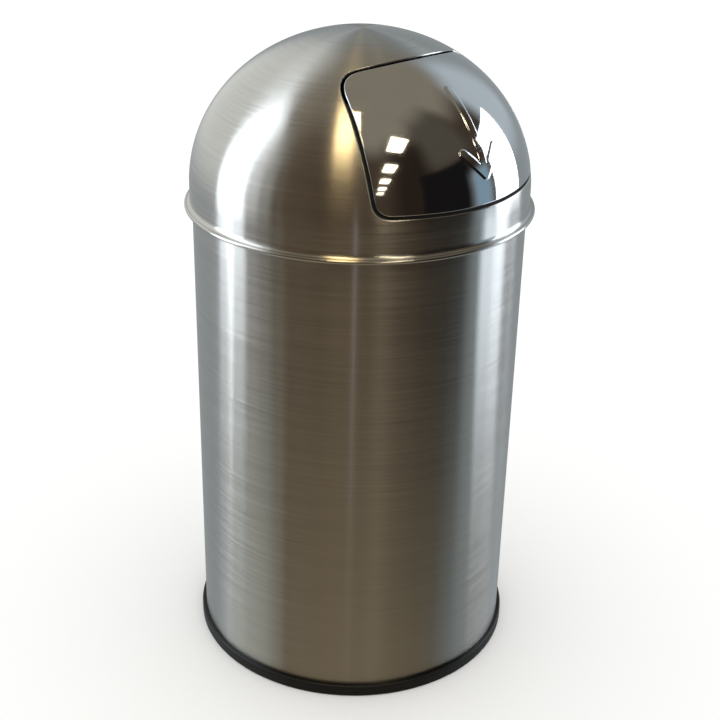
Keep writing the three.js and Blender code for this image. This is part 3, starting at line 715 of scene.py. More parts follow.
def moulded_plastic(name):
    """Black polypropylene from a spark-eroded mould: a fine grain and a dull broad sheen."""
    material, tree = new_material(name)
    position = place_on_piece(tree)
    grain = noise(tree, position, 0.8 * MM, 2.0)
    cloud = noise(tree, position, 30 * MM, 3.0)
    shade(tree, {
        "Base Color": tinted(tree, cloud, colours().plastic, 0.8, 1.25),
        "Roughness": ranged(tree, cloud, 0.36, 0.5),
        "Specular IOR Level": 0.3,
        "Normal": bumpy(tree, grain, 0.25, 0.08 * MM),
    })
    return material


def seal_rubber(name):
    """Extruded black rubber: matt, with a dusty bloom in patches."""
    material, tree = new_material(name)
    bloom = noise(tree, place_on_piece(tree), 12 * MM, 4.0)
    shade(tree, {
        "Base Color": tinted(tree, bloom, colours().rubber, 0.8, 1.6),
        "Roughness": ranged(tree, bloom, 0.65, 0.85),
    })
    return material


def zinc_plate(name):
    """Galvanised sheet: zinc crystals about 11 mm across, each at its own brightness."""
    material, tree = new_material(name)
    position = place_on_piece(tree)
    crystal, bend = 11 * MM, 6 * MM
    warp = add_node(tree, "ShaderNodeTexNoise", None,
                    {"Vector": position, "Scale": 1 / (8 * MM), "Detail": 2.0}).outputs["Color"]
    warped = add_node(tree, "ShaderNodeVectorMath", {"operation": "MULTIPLY_ADD"},
                      {0: warp, 1: (bend, bend, bend), 2: position}).outputs[0]
    crystals = add_node(tree, "ShaderNodeTexVoronoi", None,
                        {"Vector": warped, "Scale": 1 / crystal}).outputs
    tone = add_node(tree, "ShaderNodeSeparateColor", None, {0: crystals["Color"]}).outputs[0]
    shade(tree, {
        "Base Color": tinted(tree, tone, colours().zinc, 0.78, 1.08),
        "Metallic": 1.0,
        "Roughness": ranged(tree, tone, 0.34, 0.52),
        "Normal": bumpy(tree, crystals["Distance"], 0.15, 0.05 * MM),
    })
    return material


def drawn_wire(name):
    """Drawn spring steel: a grey sheen with fine marks from the die."""
    material, tree = new_material(name)
    marks = noise(tree, place_on_piece(tree), 1.5 * MM, 3.0)
    shade(tree, {
        "Base Color": tinted(tree, marks, colours().wire, 0.8, 1.15),
        "Metallic": 1.0,
        "Roughness": ranged(tree, marks, 0.22, 0.38),
    })
    return material


def floor_board(name):
    """Plain matt board."""
    material, tree = new_material(name)
    shade(tree, {
        "Base Color": linear(colours().floor),
        "Roughness": 0.9,
        "Specular IOR Level": 0.1,
    })
    return material


# Each slot's material and the function that makes it.
FINISHES = {
    "brushed_steel": ("Brushed stainless steel", brushed_steel),
    "polished_steel": ("Mirror polished stainless steel", polished_steel),
    "black_plastic": ("Moulded polypropylene", moulded_plastic),
    "black_rubber": ("Extruded rubber", seal_rubber),
    "zinc_steel": ("Galvanised steel", zinc_plate),
    "spring_steel": ("Drawn spring steel", drawn_wire),
}


def finish(slot):
    """The material of a slot, made the first time it is asked for."""
    name, build = FINISHES[slot]
    return bpy.data.materials.get(name) or build(name)


# ---------------------------------------------------------------- body

BODY_COLUMNS = 256  # points round a turned piece
PLAY = 0.3 * MM  # between pieces that fit together
MOUTH_CURL = 3 * MM  # radius of the curl at the body's mouth
MOUTH_TURN = 205  # degrees through which it is curled


def make_body_tube():
    """The body's tube, with its mouth curled inwards along an arc."""
    s = sizes()
    centre = (s.body_radius - MOUTH_CURL, s.body_top - MOUTH_CURL)
    hold = 0.6 * MM
    wall = np.array([[s.body_radius, node_size("body_shell", LOW, Z)], [s.body_radius, centre[1]]])
    mouth = arc(centre, MOUTH_CURL, 0, MOUTH_TURN, 20)
    line = np.concatenate([finer(wall, 12 * MM)[:-1], mouth[:1] - [[0, hold]], mouth])
    profile = sheet_profile(line, -s.body_sheet)
    runs = np.repeat(profile[:, 1], BODY_COLUMNS)
    return make_piece("body_tube", [turned_shell(profile, BODY_COLUMNS)], runs)


def make_base_ring():
    """The foot ring: a rounded outer face, a groove for the tube and a ledge for the pan."""
    outer, height = node_size("base_ring", HIGH, X), node_size("base_ring", HIGH, Z)
    groove, floor = sizes().body_radius + PLAY, 2.5 * MM
    inner, chamfer = outer - 16.5 * MM, 1.2 * MM
    ledge, ledge_top = inner + 3 * MM, 5.9 * MM
    profile = rounded([
        (inner, 0, 0.5 * MM), (outer - chamfer, 0, 0.6 * MM), (outer, chamfer, 0.8 * MM),
        (outer, height, 2.2 * MM), (groove, height, 0.4 * MM), (groove, floor, 0),
        (ledge, floor, 0), (ledge, ledge_top, 0.3 * MM), (inner, ledge_top, 0.3 * MM),
    ], steps=6)
    return make_piece("foot_ring", [turned_shell(profile, BODY_COLUMNS)])


def make_base_pan():
    """The pan that closes the bottom: a flat disc with its edge turned down."""
    low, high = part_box("base_pan")
    radius, corner, gauge = high[X], 1.4 * MM, 0.8 * MM
    disc = np.array([[1 * MM, high[Z]], [radius - corner, high[Z]]])
    bend = arc((radius - corner, high[Z] - corner), corner, 90, 0, 6)
    line = np.concatenate([finer(disc, 15 * MM), bend[1:], [[radius, low[Z]]]])
    return make_piece("bottom_pan", [turned_cup(sheet_profile(line, gauge), BODY_COLUMNS)])


# ---------------------------------------------------------------- lid

DOME_ROWS = 76  # points from the opening to the dome's foot, outside the sheet
DOME_INNER_ROWS = 40  # and inside it
BRIM_ROLL = 2 * MM  # radius of the rolled brim
FLARE_DROP = 5 * MM  # height over which the band flares out to the brim
SHEET_EDGE = 1.1 * MM  # radius of the turned edges of the opening and of the flap


def lid_skirt():
    """The lid's line below the dome: band, flare and brim.

    The flare's radius grows as 1 - cos a while its height falls as sin a, over a quarter turn; the
    brim is a roll through 190 degrees.
    """
    s = sizes()
    centre = (s.brim_radius - BRIM_ROLL, s.brim_foot + BRIM_ROLL)
    flare_top, hold = s.brim_foot + 2 * BRIM_ROLL + FLARE_DROP, 0.8 * MM
    straight = finer(np.array([[s.lid_radius, s.band_top], [s.lid_radius, flare_top + hold]]), 3 * MM)
    a = np.linspace(0, math.pi / 2, 13)[:-1]
    flare = np.stack([
        s.lid_radius + (centre[0] - s.lid_radius) * (1 - np.cos(a)),
        flare_top - FLARE_DROP * np.sin(a),
    ], axis=1)
    return np.concatenate([straight[1:], flare, arc(centre, BRIM_ROLL, 90, -100, 20)])


def spread(profile, direction):
    """Rows of points (r dx, r dy, z) for each (r, z) of a profile, along each column's direction."""
    grid = profile[:, None, :1] * direction[None]
    height = np.broadcast_to(profile[:, 1][:, None, None], (len(profile), len(direction), 1))
    return np.concatenate([grid, height], axis=-1)


def make_spun_dome():
    """The lid's shell: one closed grid whose columns start at the flap's opening.

    Each column runs out along an arc of the dome from the opening's rounded edge, down the skirt
    and round the brim, and back inside the sheet to the lip that is turned in at the opening.
    """
    s = sizes()
    gauge, gap, lip, edge = s.lid_sheet, s.flap_gap, 2.5 * MM, SHEET_EDGE
    start = by_the_flap(arc((gap + edge, edge), edge, 180, 270, 6))
    centre, way, first = great_arcs(start[-1])
    last = np.arctan2(np.full(COLUMNS, centre[2]), -way[:, 2])
    hold = 0.6 * MM / s.lid_radius
    share = np.linspace(0, 1, DOME_ROWS)[:, None]
    angles = np.concatenate([(first + hold)[None], first + 3 * hold + (last - first - 3 * hold) * share])
    outer = on_arcs(centre, way, angles)
    foot = unit(outer[-1, :, :2])
    skirt_line = lid_skirt()
    skirt = spread(skirt_line, foot)
    skirt_back = spread(beside(skirt_line, gauge)[::-1], foot)
    lip_inner = gap + gauge
    _, _, inner_first = great_arcs(by_the_flap([(lip_inner + edge, 0)])[0])
    share = np.linspace(1, 0, DOME_INNER_ROWS)[:, None]
    under = on_arcs(centre, way, inner_first + (last - inner_first) * share)
    under = under - gauge * dome_normal(under)
    lip_rows = by_the_flap([
        (lip_inner + 0.3 * MM, gauge + 0.3 * MM), (lip_inner, gauge + 0.9 * MM),
        (lip_inner, lip - 0.1 * MM), (lip_inner - 0.2 * MM, lip),
        (gap + 0.2 * MM, lip), (gap, lip - 0.2 * MM), (gap, edge + 0.3 * MM),
    ])
    grid = np.concatenate([start, outer, skirt, skirt_back, under, lip_rows])
    return make_piece("spun_dome", [looped(grid)], meridian_run(grid))


def make_seat_ring():
    """The ring inside the lid: a flange that rests on the mouth and a spigot that goes into it."""
    low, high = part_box("lid_seat_ring")
    s = sizes()
    spigot_outer = s.body_radius - 7.2 * MM
    spigot_inner = spigot_outer - 2 * MM
    seat = s.body_top + PLAY
    top = seat + 3 * MM
    wall_inner = high[X] - 2 * MM
    profile = rounded([
        (spigot_inner, low[Z], 0.6 * MM), (spigot_outer, low[Z], 0.8 * MM),
        (spigot_outer, seat, 0.3 * MM), (high[X], seat, 0.4 * MM),
        (high[X], high[Z], 0.6 * MM), (wall_inner, high[Z], 0.6 * MM),
        (wall_inner, top, 0.4 * MM), (spigot_inner, top, 0.6 * MM),
    ])
    return make_piece("seat_ring", [turned_shell(profile, BODY_COLUMNS)])


# ---------------------------------------------------------------- hinge

RING_SIDES = 48  # points round a ring on the pin
EYE_RADIUS = 6.5 * MM  # of the bracket's eye
LUG_SPAN = (43 * MM, 45 * MM)  # the bracket's lug from one x to another
FOOT_SPAN = (30 * MM, 60 * MM)  # its foot
BRACKET_FRONT = 4 * MM  # from the pin back to the foot's front edge
BRACKET_BACK = 26 * MM  # from the pin back to its back edge
FOOT_TOP = 1.15 * MM  # depth of the foot's upper face under the dome
FOOT_UNDER = 2.55 * MM  # depth of its lower face


def ring_on_pin(outer, start, end, edge=0.4 * MM):
    """A ring round the pin, from one x to another, with rounded edges."""
    s = sizes()
    bore = s.pin_radius + PLAY
    profile = rounded([(bore, start, edge), (outer, start, edge), (outer, end, edge), (bore, end, edge)])
    return along_x(turned_shell(profile, RING_SIDES), s.hinge_y, s.hinge_z)


def depth_height(x, y, depth):
    """The height at (x, y) that lies a depth under the dome: z of the ellipsoid, less depth / nz."""
    s = sizes()
    z = s.band_top + dome_rise() * np.sqrt(np.maximum(1 - (x ** 2 + y ** 2) / s.lid_radius ** 2, 0))
    up = dome_normal(np.stack([x + 0 * y, y + 0 * x, z], axis=-1))[..., 2]
    return z - depth / up


def x_plate(outline, start, end, edge=0.3 * MM):
    """A plate with a (y, z) outline, thick along X."""
    return along_x(plate(outline, start, end, edge))


def slab(top, low):
    """A closed slab between two grids of the same size, joined by walls round their border."""
    rows, columns = top.shape[:2]
    count = rows * columns
    index = np.arange(count).reshape(rows, columns)
    border = np.concatenate([index[0, :-1], index[:-1, -1], index[-1, :0:-1], index[:0:-1, 0]])
    after = np.roll(border, -1)
    faces = grid_faces(rows, columns, around_columns=False)
    walls = np.stack([border, after, after + count, border + count], axis=1)
    points = np.concatenate([top.reshape(-1, 3), low.reshape(-1, 3)])
    return points, np.concatenate([faces[:, ::-1], faces + count, walls]), []


def make_hinge_bracket(name, side):
    """A lug with an eye round the pin, on a foot that follows the underside of the dome."""
    s = sizes()
    y, z = s.hinge_y, s.hinge_z
    back, front = y + BRACKET_BACK, y + BRACKET_FRONT
    top_y = np.linspace(back, front, 12)
    top = np.stack([top_y, depth_height(sum(LUG_SPAN) / 2, top_y, 2 * MM)], axis=1)
    heel = np.array([[y + 5.6 * MM, z], [back, z + 0.2 * MM]])
    neck = np.array([[y + 3.4 * MM, z + 5 * MM]])
    web = finer(np.concatenate([heel, top, neck]), 3 * MM, closed=True)
    grid_x, grid_y = np.meshgrid(np.linspace(*FOOT_SPAN, 16), np.linspace(front, back, 12), indexing="ij")
    foot = slab(*(np.stack([grid_x, grid_y, depth_height(grid_x, grid_y, depth)], axis=-1)
                  for depth in (FOOT_TOP, FOOT_UNDER)))
    shells = (ring_on_pin(EYE_RADIUS, *LUG_SPAN), x_plate(web, *LUG_SPAN), foot)
    return make_piece(name, [on_side(shell, side) for shell in shells])


def make_hinge_pin():
    """The pin, with chamfered ends."""
    low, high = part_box("hinge_pin")
    s = sizes()
    radius, chamfer, core = s.pin_radius, 0.6 * MM, 0.2 * MM
    line = np.array([
        [core, low[X]], [radius - chamfer, low[X]], [radius, low[X] + chamfer],
        [radius, low[X] + 2 * chamfer], [radius, 0], [radius, high[X] - 2 * chamfer],
        [radius, high[X] - chamfer], [radius - chamfer, high[X]], [core, high[X]],
    ])
    return make_piece("flap_pin", [along_x(turned_cup(line, 40), s.hinge_y, s.hinge_z)])


def make_pin_clip(name, side):
    """A push-on washer, dished towards its rim."""
    low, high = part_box("pin_clip_right")
    s = sizes()
    start, end = low[X], high[X]
    thick = end - start
    bore, knee, rim = s.pin_radius + PLAY, 4.4 * MM, 6 * MM
    profile = rounded([
        (bore, start + 0.5 * thick, 0.1 * MM), (bore, end, 0.2 * MM),
        (knee, end - 0.1 * thick, 0.3 * MM), (rim, start + 0.55 * thick, 0.2 * MM),
        (rim, start, 0.2 * MM), (knee, start + 0.4 * thick, 0.3 * MM),
    ])
    shell = along_x(turned_shell(profile, RING_SIDES), s.hinge_y, s.hinge_z)
    return make_piece(name, [on_side(shell, side)])


# ---------------------------------------------------------------- springs

SPRING_WIRE = 0.8 * MM  # radius of the wire
SPRING_RADIUS = 4.3 * MM  # of the coil, to the middle of the wire
SPRING_PITCH = 2.4 * MM
SPRING_TURNS = 4
SPRING_PLACE = 34.5 * MM  # x of the coil's middle
FIXED_LEG = (20 * MM, 3.7 * MM)  # from the pin back to the leg's end, and that end's depth
MOVING_LEG = (-30 * MM, 4.2 * MM)  # the same for the leg under the flap


def leave_angle(y, z):
    """The angle round the pin where a straight leg to a point leaves the coil's lower side."""
    s = sizes()
    dy, dz = y - s.hinge_y, z - s.hinge_z
    swing = math.acos(SPRING_RADIUS / math.hypot(dy, dz))
    angle = math.atan2(dz, dy)
    return angle - swing if dy > 0 else angle + swing


def leg_end(x, leg):
    """The end of a spring's leg, a depth under the dome."""
    y = sizes().hinge_y + leg[0]
    return np.array([x, y, float(depth_height(np.array(x), np.array(y), leg[1]))])


def make_flap_spring(name, side):
    """A torsion spring: a leg under the dome, four turns round the pin and a leg under the flap.

    The coil is (x0 + (x1 - x0) t, y + R cos a, z + R sin a), with a falling evenly along it; the
    legs are straight and leave it at its tangents.
    """
    s = sizes()
    half = SPRING_TURNS * SPRING_PITCH / 2
    fixed_x, moving_x = SPRING_PLACE + half, SPRING_PLACE - half
    fixed, moving = leg_end(fixed_x, FIXED_LEG), leg_end(moving_x, MOVING_LEG)
    start, meet = leave_angle(*fixed[1:]), leave_angle(*moving[1:])
    sweep = 2 * math.pi * SPRING_TURNS + (start - meet) % (2 * math.pi)
    t = np.linspace(0, 1, SPRING_TURNS * 36 + 1)
    a = start - t * sweep
    coil = np.stack([
        fixed_x + (moving_x - fixed_x) * t,
        s.hinge_y + SPRING_RADIUS * np.cos(a),
        s.hinge_z + SPRING_RADIUS * np.sin(a),
    ], axis=1)
    legs = np.linspace(0, 1, 14)[:-1, None]
    path = np.concatenate([
        fixed + (coil[0] - fixed) * legs, coil, (coil[-1] + (moving - coil[-1]) * (1 - legs))[::-1]])
    shell = tube(path, SPRING_WIRE, np.array([1.0, 0, 0]), 12)
    piece = make_piece(name, [on_side(shell, side)])
    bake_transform(piece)
    return piece


# ---------------------------------------------------------------- flap

FLAP_ROWS = 180  # points from the flap's middle to its edge
FLAP_DEPTH = 5 * MM  # how far the flap's edge is turned in
ARROW_TIP = np.array([0, 27 * MM])  # across the flap, and up the press plane from its sill
ARROW_TAIL = np.array([0, 108 * MM])
ARROW_BARB = np.array([21 * MM, 50 * MM])
STROKE_HALF = 5.2 * MM  # half the width of the arrow's strokes
STROKE_SHOULDER = 1.7 * MM  # width of their soft edge
FLANGE_REACH = 8 * MM  # how far the liner's flange stands out behind the opening
MIDDLE = 0.002  # share of the way to the rim where a skin's middle is closed


def motif(points):
    """Height of the plain arrow embossed down the middle of the flap, at each point.

    The distance to the nearest of three round-ended strokes, a shaft and two barbs, gives the
    height as h t^2 (3 - 2t), with t falling from 1 to 0 across the stroke's soft shoulder.
    """
    sill, _ = press_point()
    x = points[..., 0]
    v = (points[..., 1] - sill[1]) * math.sin(PRESS) + (points[..., 2] - sill[2]) * math.cos(PRESS)
    here = np.stack([x, v], axis=-1)
    distance = np.full(x.shape, 1.0)
    for end in (ARROW_TAIL, ARROW_BARB, ARROW_BARB * np.array([-1, 1])):
        stroke = end - ARROW_TIP
        share = np.clip(((here - ARROW_TIP) @ stroke) / (stroke @ stroke), 0, 1)
        nearest = ARROW_TIP + share[..., None] * stroke
        distance = np.minimum(distance, np.linalg.norm(here - nearest, axis=-1))
    return sizes().motif_height * smooth((STROKE_HALF - distance) / STROKE_SHOULDER)


def make_flap_skin():
    """The polished flap: an embossed face on the dome's own surface, with its edge turned in.

    Rows of the face lie at even steps of t from the middle to the rim, t^1.35 of the way out, and
    those of its underside at even steps.
    """
    edge, gauge, depth = SHEET_EDGE, sizes().lid_sheet, FLAP_DEPTH
    centre, way, rim = great_arcs(by_the_flap([(-edge, 0)])[0])
    share = np.concatenate([[MIDDLE], np.linspace(0.05, 1, FLAP_ROWS) ** 1.35])[:, None]
    face = on_arcs(centre, way, rim * share)
    face = face + motif(face)[..., None] * dome_normal(face)
    outer_edge = by_the_flap(arc((-edge, edge), edge, 270, 360, 6)[1:])
    wall = by_the_flap([
        (0, edge + 0.4 * MM), (0, depth - 0.4 * MM), (-0.15 * MM, depth), (-gauge + 0.15 * MM, depth),
        (-gauge, depth - 0.4 * MM), (-gauge, edge + 0.6 * MM), (-gauge - 0.4 * MM, gauge + 0.25 * MM),
    ])
    share = np.concatenate([np.linspace(0.985, 0.1, 60), [MIDDLE]])[:, None]
    under = on_arcs(centre, way, rim * share)
    under = under + (motif(under)[..., None] - gauge) * dome_normal(under)
    return make_piece("flap_face", [capped(np.concatenate([face, outer_edge, wall, under]))])


def flange_share(heights):
    """The share of its full reach that the liner's flange has at each height.

    It is 1 behind the strip and falls to none over the 3 mm above the strip's end.
    """
    top = node_size("flap_seal", HIGH, Z) + 1 * MM
    return smooth((top - heights) / (3 * MM))


def make_flap_liner():
    """The moulded liner: a pan inside the flap's edge, a flange behind the opening, two knuckles."""
    inset, wall = sizes().lid_sheet + PLAY, 2 * MM
    inner = -inset - wall
    flange_front, back = 5.3 * MM, 7.3 * MM
    round_front, round_back = 0.3 * MM, 0.4 * MM
    loop, _ = flap_frame()
    out = flange_share(loop[:, 2])
    reach = -inset + (FLANGE_REACH + inset) * out
    centre, way, rim = great_arcs(by_the_flap([(-inset - 0.8 * MM, 0)])[0])
    share = np.linspace(MIDDLE, 1, 50)[:, None]
    face = on_arcs(centre, way, rim * share)
    face = face - inset * dome_normal(face)
    rows = by_the_flap([
        (-inset, inset + 0.8 * MM), (-inset, flange_front - round_front),
        (-inset + round_front * out, flange_front), (reach - round_back * out, flange_front),
        (reach, flange_front + round_back), (reach, back - round_back),
        (reach - round_back * out, back), (inner + round_back, back), (inner, back - round_back),
        (inner, inset + wall + 0.6 * MM), (inner - 0.6 * MM, inset + wall),
    ])
    _, _, inner_rim = great_arcs(by_the_flap([(inner - 0.6 * MM, 0)])[0])
    share = np.concatenate([np.linspace(0.97, 0.1, 30), [MIDDLE]])[:, None]
    under = on_arcs(centre, way, inner_rim * share)
    under = under - (inset + wall) * dome_normal(under)
    pan = capped(np.concatenate([face, rows, under]))
    ribs = [on_side(shell, side) for side in (1, -1) for shell in hinge_rib()]
    return make_piece("flap_lining", [pan] + ribs)


def hinge_rib():
    """A knuckle round the pin, and the rib that carries it under the flap."""
    s = sizes()
    y, z = s.hinge_y, s.hinge_z
    span, radius, inset = (16 * MM, 26 * MM), 6 * MM, 0.4 * MM
    near, far = y - 24 * MM, y - 38 * MM
    top_y = np.linspace(near, far, 12)
    under_flap = depth_height(sum(span) / 2, top_y, 2.6 * MM)
    top = np.stack([top_y, np.minimum(under_flap, z + radius - inset)], axis=1)
    neck = np.array([[y - 3.6 * MM, z + 4.4 * MM], [y - 9 * MM, z + 5.4 * MM]])
    foot = np.array([[far, z - radius + inset], [y, z - radius + inset], [y - 3.6 * MM, z - 2 * MM]])
    outline = finer(np.concatenate([neck, top, foot]), 3 * MM, closed=True)
    return [ring_on_pin(radius, *span), x_plate(outline, *span)]


def make_flap_seal():
    """The rubber strip on the liner's flange: a rounded flat section swept round sill and sides."""
    loop, _ = flap_frame()
    keep = np.nonzero(loop[:, 2] < node_size("flap_seal", HIGH, Z))[0]
    breaks = np.nonzero(np.diff(keep) > 1)[0]
    order = np.roll(keep, -(breaks[0] + 1)) if len(breaks) else keep
    inner, outer = 0.35 * MM, 7 * MM
    face, back = 2.85 * MM, 4.95 * MM
    section = rounded([(inner, face, 0.7 * MM), (outer, face, 0.9 * MM),
                       (outer, back, 0.3 * MM), (inner, back, 0.3 * MM)])
    rows = by_the_flap(section)[:, order]
    return make_piece("flap_strip", [capped(rows.transpose(1, 0, 2))])


# ---------------------------------------------------------------- bucket

RIM_ROLL = 3 * MM  # radius of the bucket's rolled rim
EYE_OVER_RIM = 2.8 * MM  # height of the bail's eyes over the top of the rim


def make_pail():
    """The bucket: a raised floor on a rolled foot, a tapered wall and a rim rolled outwards."""
    s = sizes()
    gauge = s.body_sheet
    centre, rim_z = s.rim_outer - RIM_ROLL, s.bucket_top - RIM_ROLL
    wall_top = centre - RIM_ROLL + gauge
    wall_foot = wall_top - 8.5 * MM
    foot = node_size("inner_bucket", LOW, Z)
    floor, groove = foot + 5 * MM, wall_foot - 4 * MM
    lower = rounded([
        (1 * MM, floor, 0), (groove, floor, 1.6 * MM), (groove, foot, 0.9 * MM),
        (wall_foot, foot, 0.9 * MM), (wall_top, rim_z, 0), (0, rim_z, 0),
    ])[:-2]
    rim = arc((centre, rim_z), RIM_ROLL - gauge, 180, -110, 28)
    line = finer(np.concatenate([lower, rim]), 10 * MM)
    return make_piece("pail", [turned_cup(sheet_profile(line, -gauge), BODY_COLUMNS)])


def make_bail_ear(name, side):
    """An ear: a strip riveted to the pail that steps out past its rim to a rounded eye.

    Columns run from the eye's edge to the ear's outline, at the angle of each outline point; the
    distance out of the pail's wall follows a smooth step of the height.
    """
    low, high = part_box("bail_ear_right")
    gauge, edge = 1.5 * MM, 0.3 * MM
    hole, head, half, corner = 3.1 * MM, 7.6 * MM, 11 * MM, 2 * MM
    eye_z = sizes().bucket_top + EYE_OVER_RIM
    foot = low[Z] - eye_z
    step_low, step_high = -15 * MM - EYE_OVER_RIM, -6 * MM - EYE_OVER_RIM
    outline = even_loop(np.concatenate([
        [[-half, step_low], [-half, foot + corner]],
        arc((-half + corner, foot + corner), corner, 180, 270, 6),
        arc((half - corner, foot + corner), corner, 270, 360, 6),
        [[half, step_low]],
        arc((0, 0), head, 0, 180, 24),
    ]), 160)
    way = unit(outline)
    share = np.linspace(0, 1, 26)[:, None, None]
    ring, rim = way * (hole + edge), outline - way * edge
    flat = ring + (rim - ring) * share
    front = np.concatenate([(way * hole)[None], flat, outline[None]])
    half_gauge = np.full((len(front), 1), gauge / 2)
    half_gauge[[0, -1]] -= edge
    step = smooth((front[..., 1] - step_low) / (step_high - step_low))
    wall_x, head_x = low[X] + gauge / 2, high[X] - gauge / 2
    middle_x = wall_x + (head_x - wall_x) * step
    outside, inside = (
        np.stack([middle_x + sign * half_gauge, front[..., 0], front[..., 1] + eye_z], axis=-1)
        for sign in (1, -1))
    return make_piece(name, [on_side(looped(np.concatenate([outside, inside[::-1]])), side)])


def make_ear_rivet(name, node):
    """A rivet: a domed head outside the ear and a flat one inside the pail."""
    low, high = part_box(node)
    start, end = sorted((abs(low[X]), abs(high[X])))
    head, shank, core, edge = 3.6 * MM, 2 * MM, 0.1 * MM, 0.2 * MM
    flat_end, dome_start = start + 0.7 * MM, end - 1.4 * MM
    t = np.radians(np.linspace(0, 88, 10))
    domed = np.stack([head * np.cos(t), dome_start + (end - dome_start) * np.sin(t)], axis=1)
    line = np.concatenate([
        [[core, start], [head - edge, start], [head, start + edge], [head, flat_end],
         [shank, flat_end + 0.05 * MM], [shank, dome_start - 0.05 * MM],
         [head - 0.1 * MM, dome_start - 0.02 * MM]],
        domed, [[core, end]]])
    shell = along_x(turned_cup(line, 32), node_middle(node, Y), node_middle(node, Z))
    return make_piece(name, [on_side(shell, 1 if low[X] > 0 else -1)])


def make_bail():
    """The bail: a half circle of 5 mm wire over the rim, its ends bent out through the ears."""
    s = sizes()
    radius, bend = 2.5 * MM, 4 * MM
    ring = s.rim_outer - RIM_ROLL
    tail = np.linspace(node_size("bail_handle", HIGH, X), ring + bend, 6)[:-1]
    turn_at = np.linspace(0, math.pi / 2, 13)[:-1]
    corner = np.stack([ring + bend - bend * np.sin(turn_at), bend * (1 - np.cos(turn_at))], axis=1)
    half = np.linspace(math.asin(bend / ring), math.pi / 2, 90)
    arch = np.stack([ring * np.cos(half), ring * np.sin(half)], axis=1)
    right = np.concatenate([np.stack([tail, 0 * tail], axis=1), corner, arch])
    whole = np.concatenate([right, (right * np.array([-1, 1]))[-2::-1]])
    path = np.column_stack([whole, np.full(len(whole), s.bucket_top + EYE_OVER_RIM)])
    return make_piece("bail_wire", [tube(path, radius, np.array([0, 0, 1.0]), 20)])


# ---------------------------------------------------------------- studio

CAMERA_AZIMUTH = math.radians(-44.75)
CAMERA_DISTANCE = 1.2859  # from the bin's axis
CAMERA_HEIGHT = 0.9343  # over the floor
CAMERA_PITCH = math.radians(25.745)
CAMERA_ROLL = math.radians(1.263)
CAMERA_YAW = math.radians(0.175)
FOCAL_PIXELS = 1319.5  # focal length, in pixels of the photograph
PICTURE_PIXELS = 720  # width of the photograph
SENSOR_WIDTH = 36  # millimetres


def make_camera():
    """The camera of the photograph: level and turned to the axis, then yawed, pitched and rolled."""
    data = bpy.data.cameras.new("Camera")
    data.sensor_fit = "HORIZONTAL"
    data.sensor_width = SENSOR_WIDTH
    data.lens = FOCAL_PIXELS / PICTURE_PIXELS * SENSOR_WIDTH
    data.clip_start, data.clip_end = 0.05, 100
    camera = bpy.data.objects.new("Camera", data)
    place_at = Vector((0, -CAMERA_DISTANCE, CAMERA_HEIGHT))
    ahead = Vector((math.sin(CAMERA_YAW), math.cos(CAMERA_YAW), 0))
    look = ahead * math.cos(CAMERA_PITCH) - Vector((0, 0, math.sin(CAMERA_PITCH)))
    right = Vector((math.cos(CAMERA_YAW), -math.sin(CAMERA_YAW), 0))
    up = right.cross(look)
    rolled_right = right * math.cos(CAMERA_ROLL) + up * math.sin(CAMERA_ROLL)
    rolled_up = up * math.cos(CAMERA_ROLL) - right * math.sin(CAMERA_ROLL)
    axes = Matrix((rolled_right, rolled_up, -look)).transposed().to_4x4()
    turned_to = Matrix.Rotation(CAMERA_AZIMUTH, 4, "Z")
    camera.matrix_world = turned_to @ Matrix.Translation(place_at) @ axes
    bpy.context.scene.collection.objects.link(camera)
    bpy.context.scene.camera = camera


def toward(azimuth, elevation):
    """The unit direction at an azimuth from the camera's side and an elevation, in degrees."""
    a, e = CAMERA_AZIMUTH + math.radians(azimuth), math.radians(elevation)
    return Vector((math.sin(a) * math.cos(e), -math.cos(a) * math.cos(e), math.sin(e)))


def light_panel(name, place_at, up, away, size, colour, radiance):
    """A rectangular light of even radiance, whose power is pi x area x radiance.

    It faces against the direction away, with its height along up. Only the steel sees it: the
    camera looks past it, and it adds no light to the floor.
    """
    data = bpy.data.lights.new(name, "AREA")
    data.shape = "RECTANGLE"
    data.size, data.size_y = size
    data.energy = math.pi * size[0] * size[1] * radiance
    data.color = linear(colour)[:3]
    lamp = bpy.data.objects.new(name, data)
    axes = Matrix((up.cross(away), up, away)).transposed().to_4x4()
    lamp.matrix_world = Matrix.Translation(place_at) @ axes
    lamp.visible_camera = False
    lamp.visible_diffuse = False
    bpy.context.scene.collection.objects.link(lamp)


def window(name, azimuths, heights, colour, radiance):
    """An upright light between two azimuths and two heights, facing the bin."""
    middle, half = sum(azimuths) / 2, math.radians(azimuths[1] - azimuths[0]) / 2
    away = toward(middle, 0)
    size = (2 * WINDOW_DISTANCE * math.tan(half), heights[1] - heights[0])
    place_at = away * WINDOW_DISTANCE + Vector((0, 0, sum(heights) / 2))
    light_panel(name, place_at, Vector((0, 0, 1)), away, size, colour, radiance)


def ceiling_lights(name, count, first, step, side, colour, radiance):
    """A row of panels in the ceiling, going away from the bin on the camera's side.

    Panel k lies first + k step in front of the bin, and side[0] + k side[1] to the camera's right.
    """
    ahead, right, up = toward(0, 0), toward(90, 0), Vector((0, 0, 1))
    for k in range(count):
        place_at = ahead * (first + k * step) + right * (side[0] + k * side[1]) + up * CEILING
        light_panel(f"{name} {k + 1}", place_at, ahead, up, PANEL, colour, radiance)


def soft_step(tree, value, start, end):
    """A smooth step of a value, from 0 at the start to 1 at the end."""
    return add_node(tree, "ShaderNodeMapRange", {"interpolation_type": "SMOOTHSTEP"},
                    {"Value": value, "From Min": start, "From Max": end}).outputs["Result"]


def band(tree, value, low, high, soft):
    """1 between two values and 0 outside, with soft steps at both."""
    rise = soft_step(tree, value, low - soft, low + soft)
    fall = soft_step(tree, value, high + soft, high - soft)
    return maths(tree, "MULTIPLY", rise, fall)


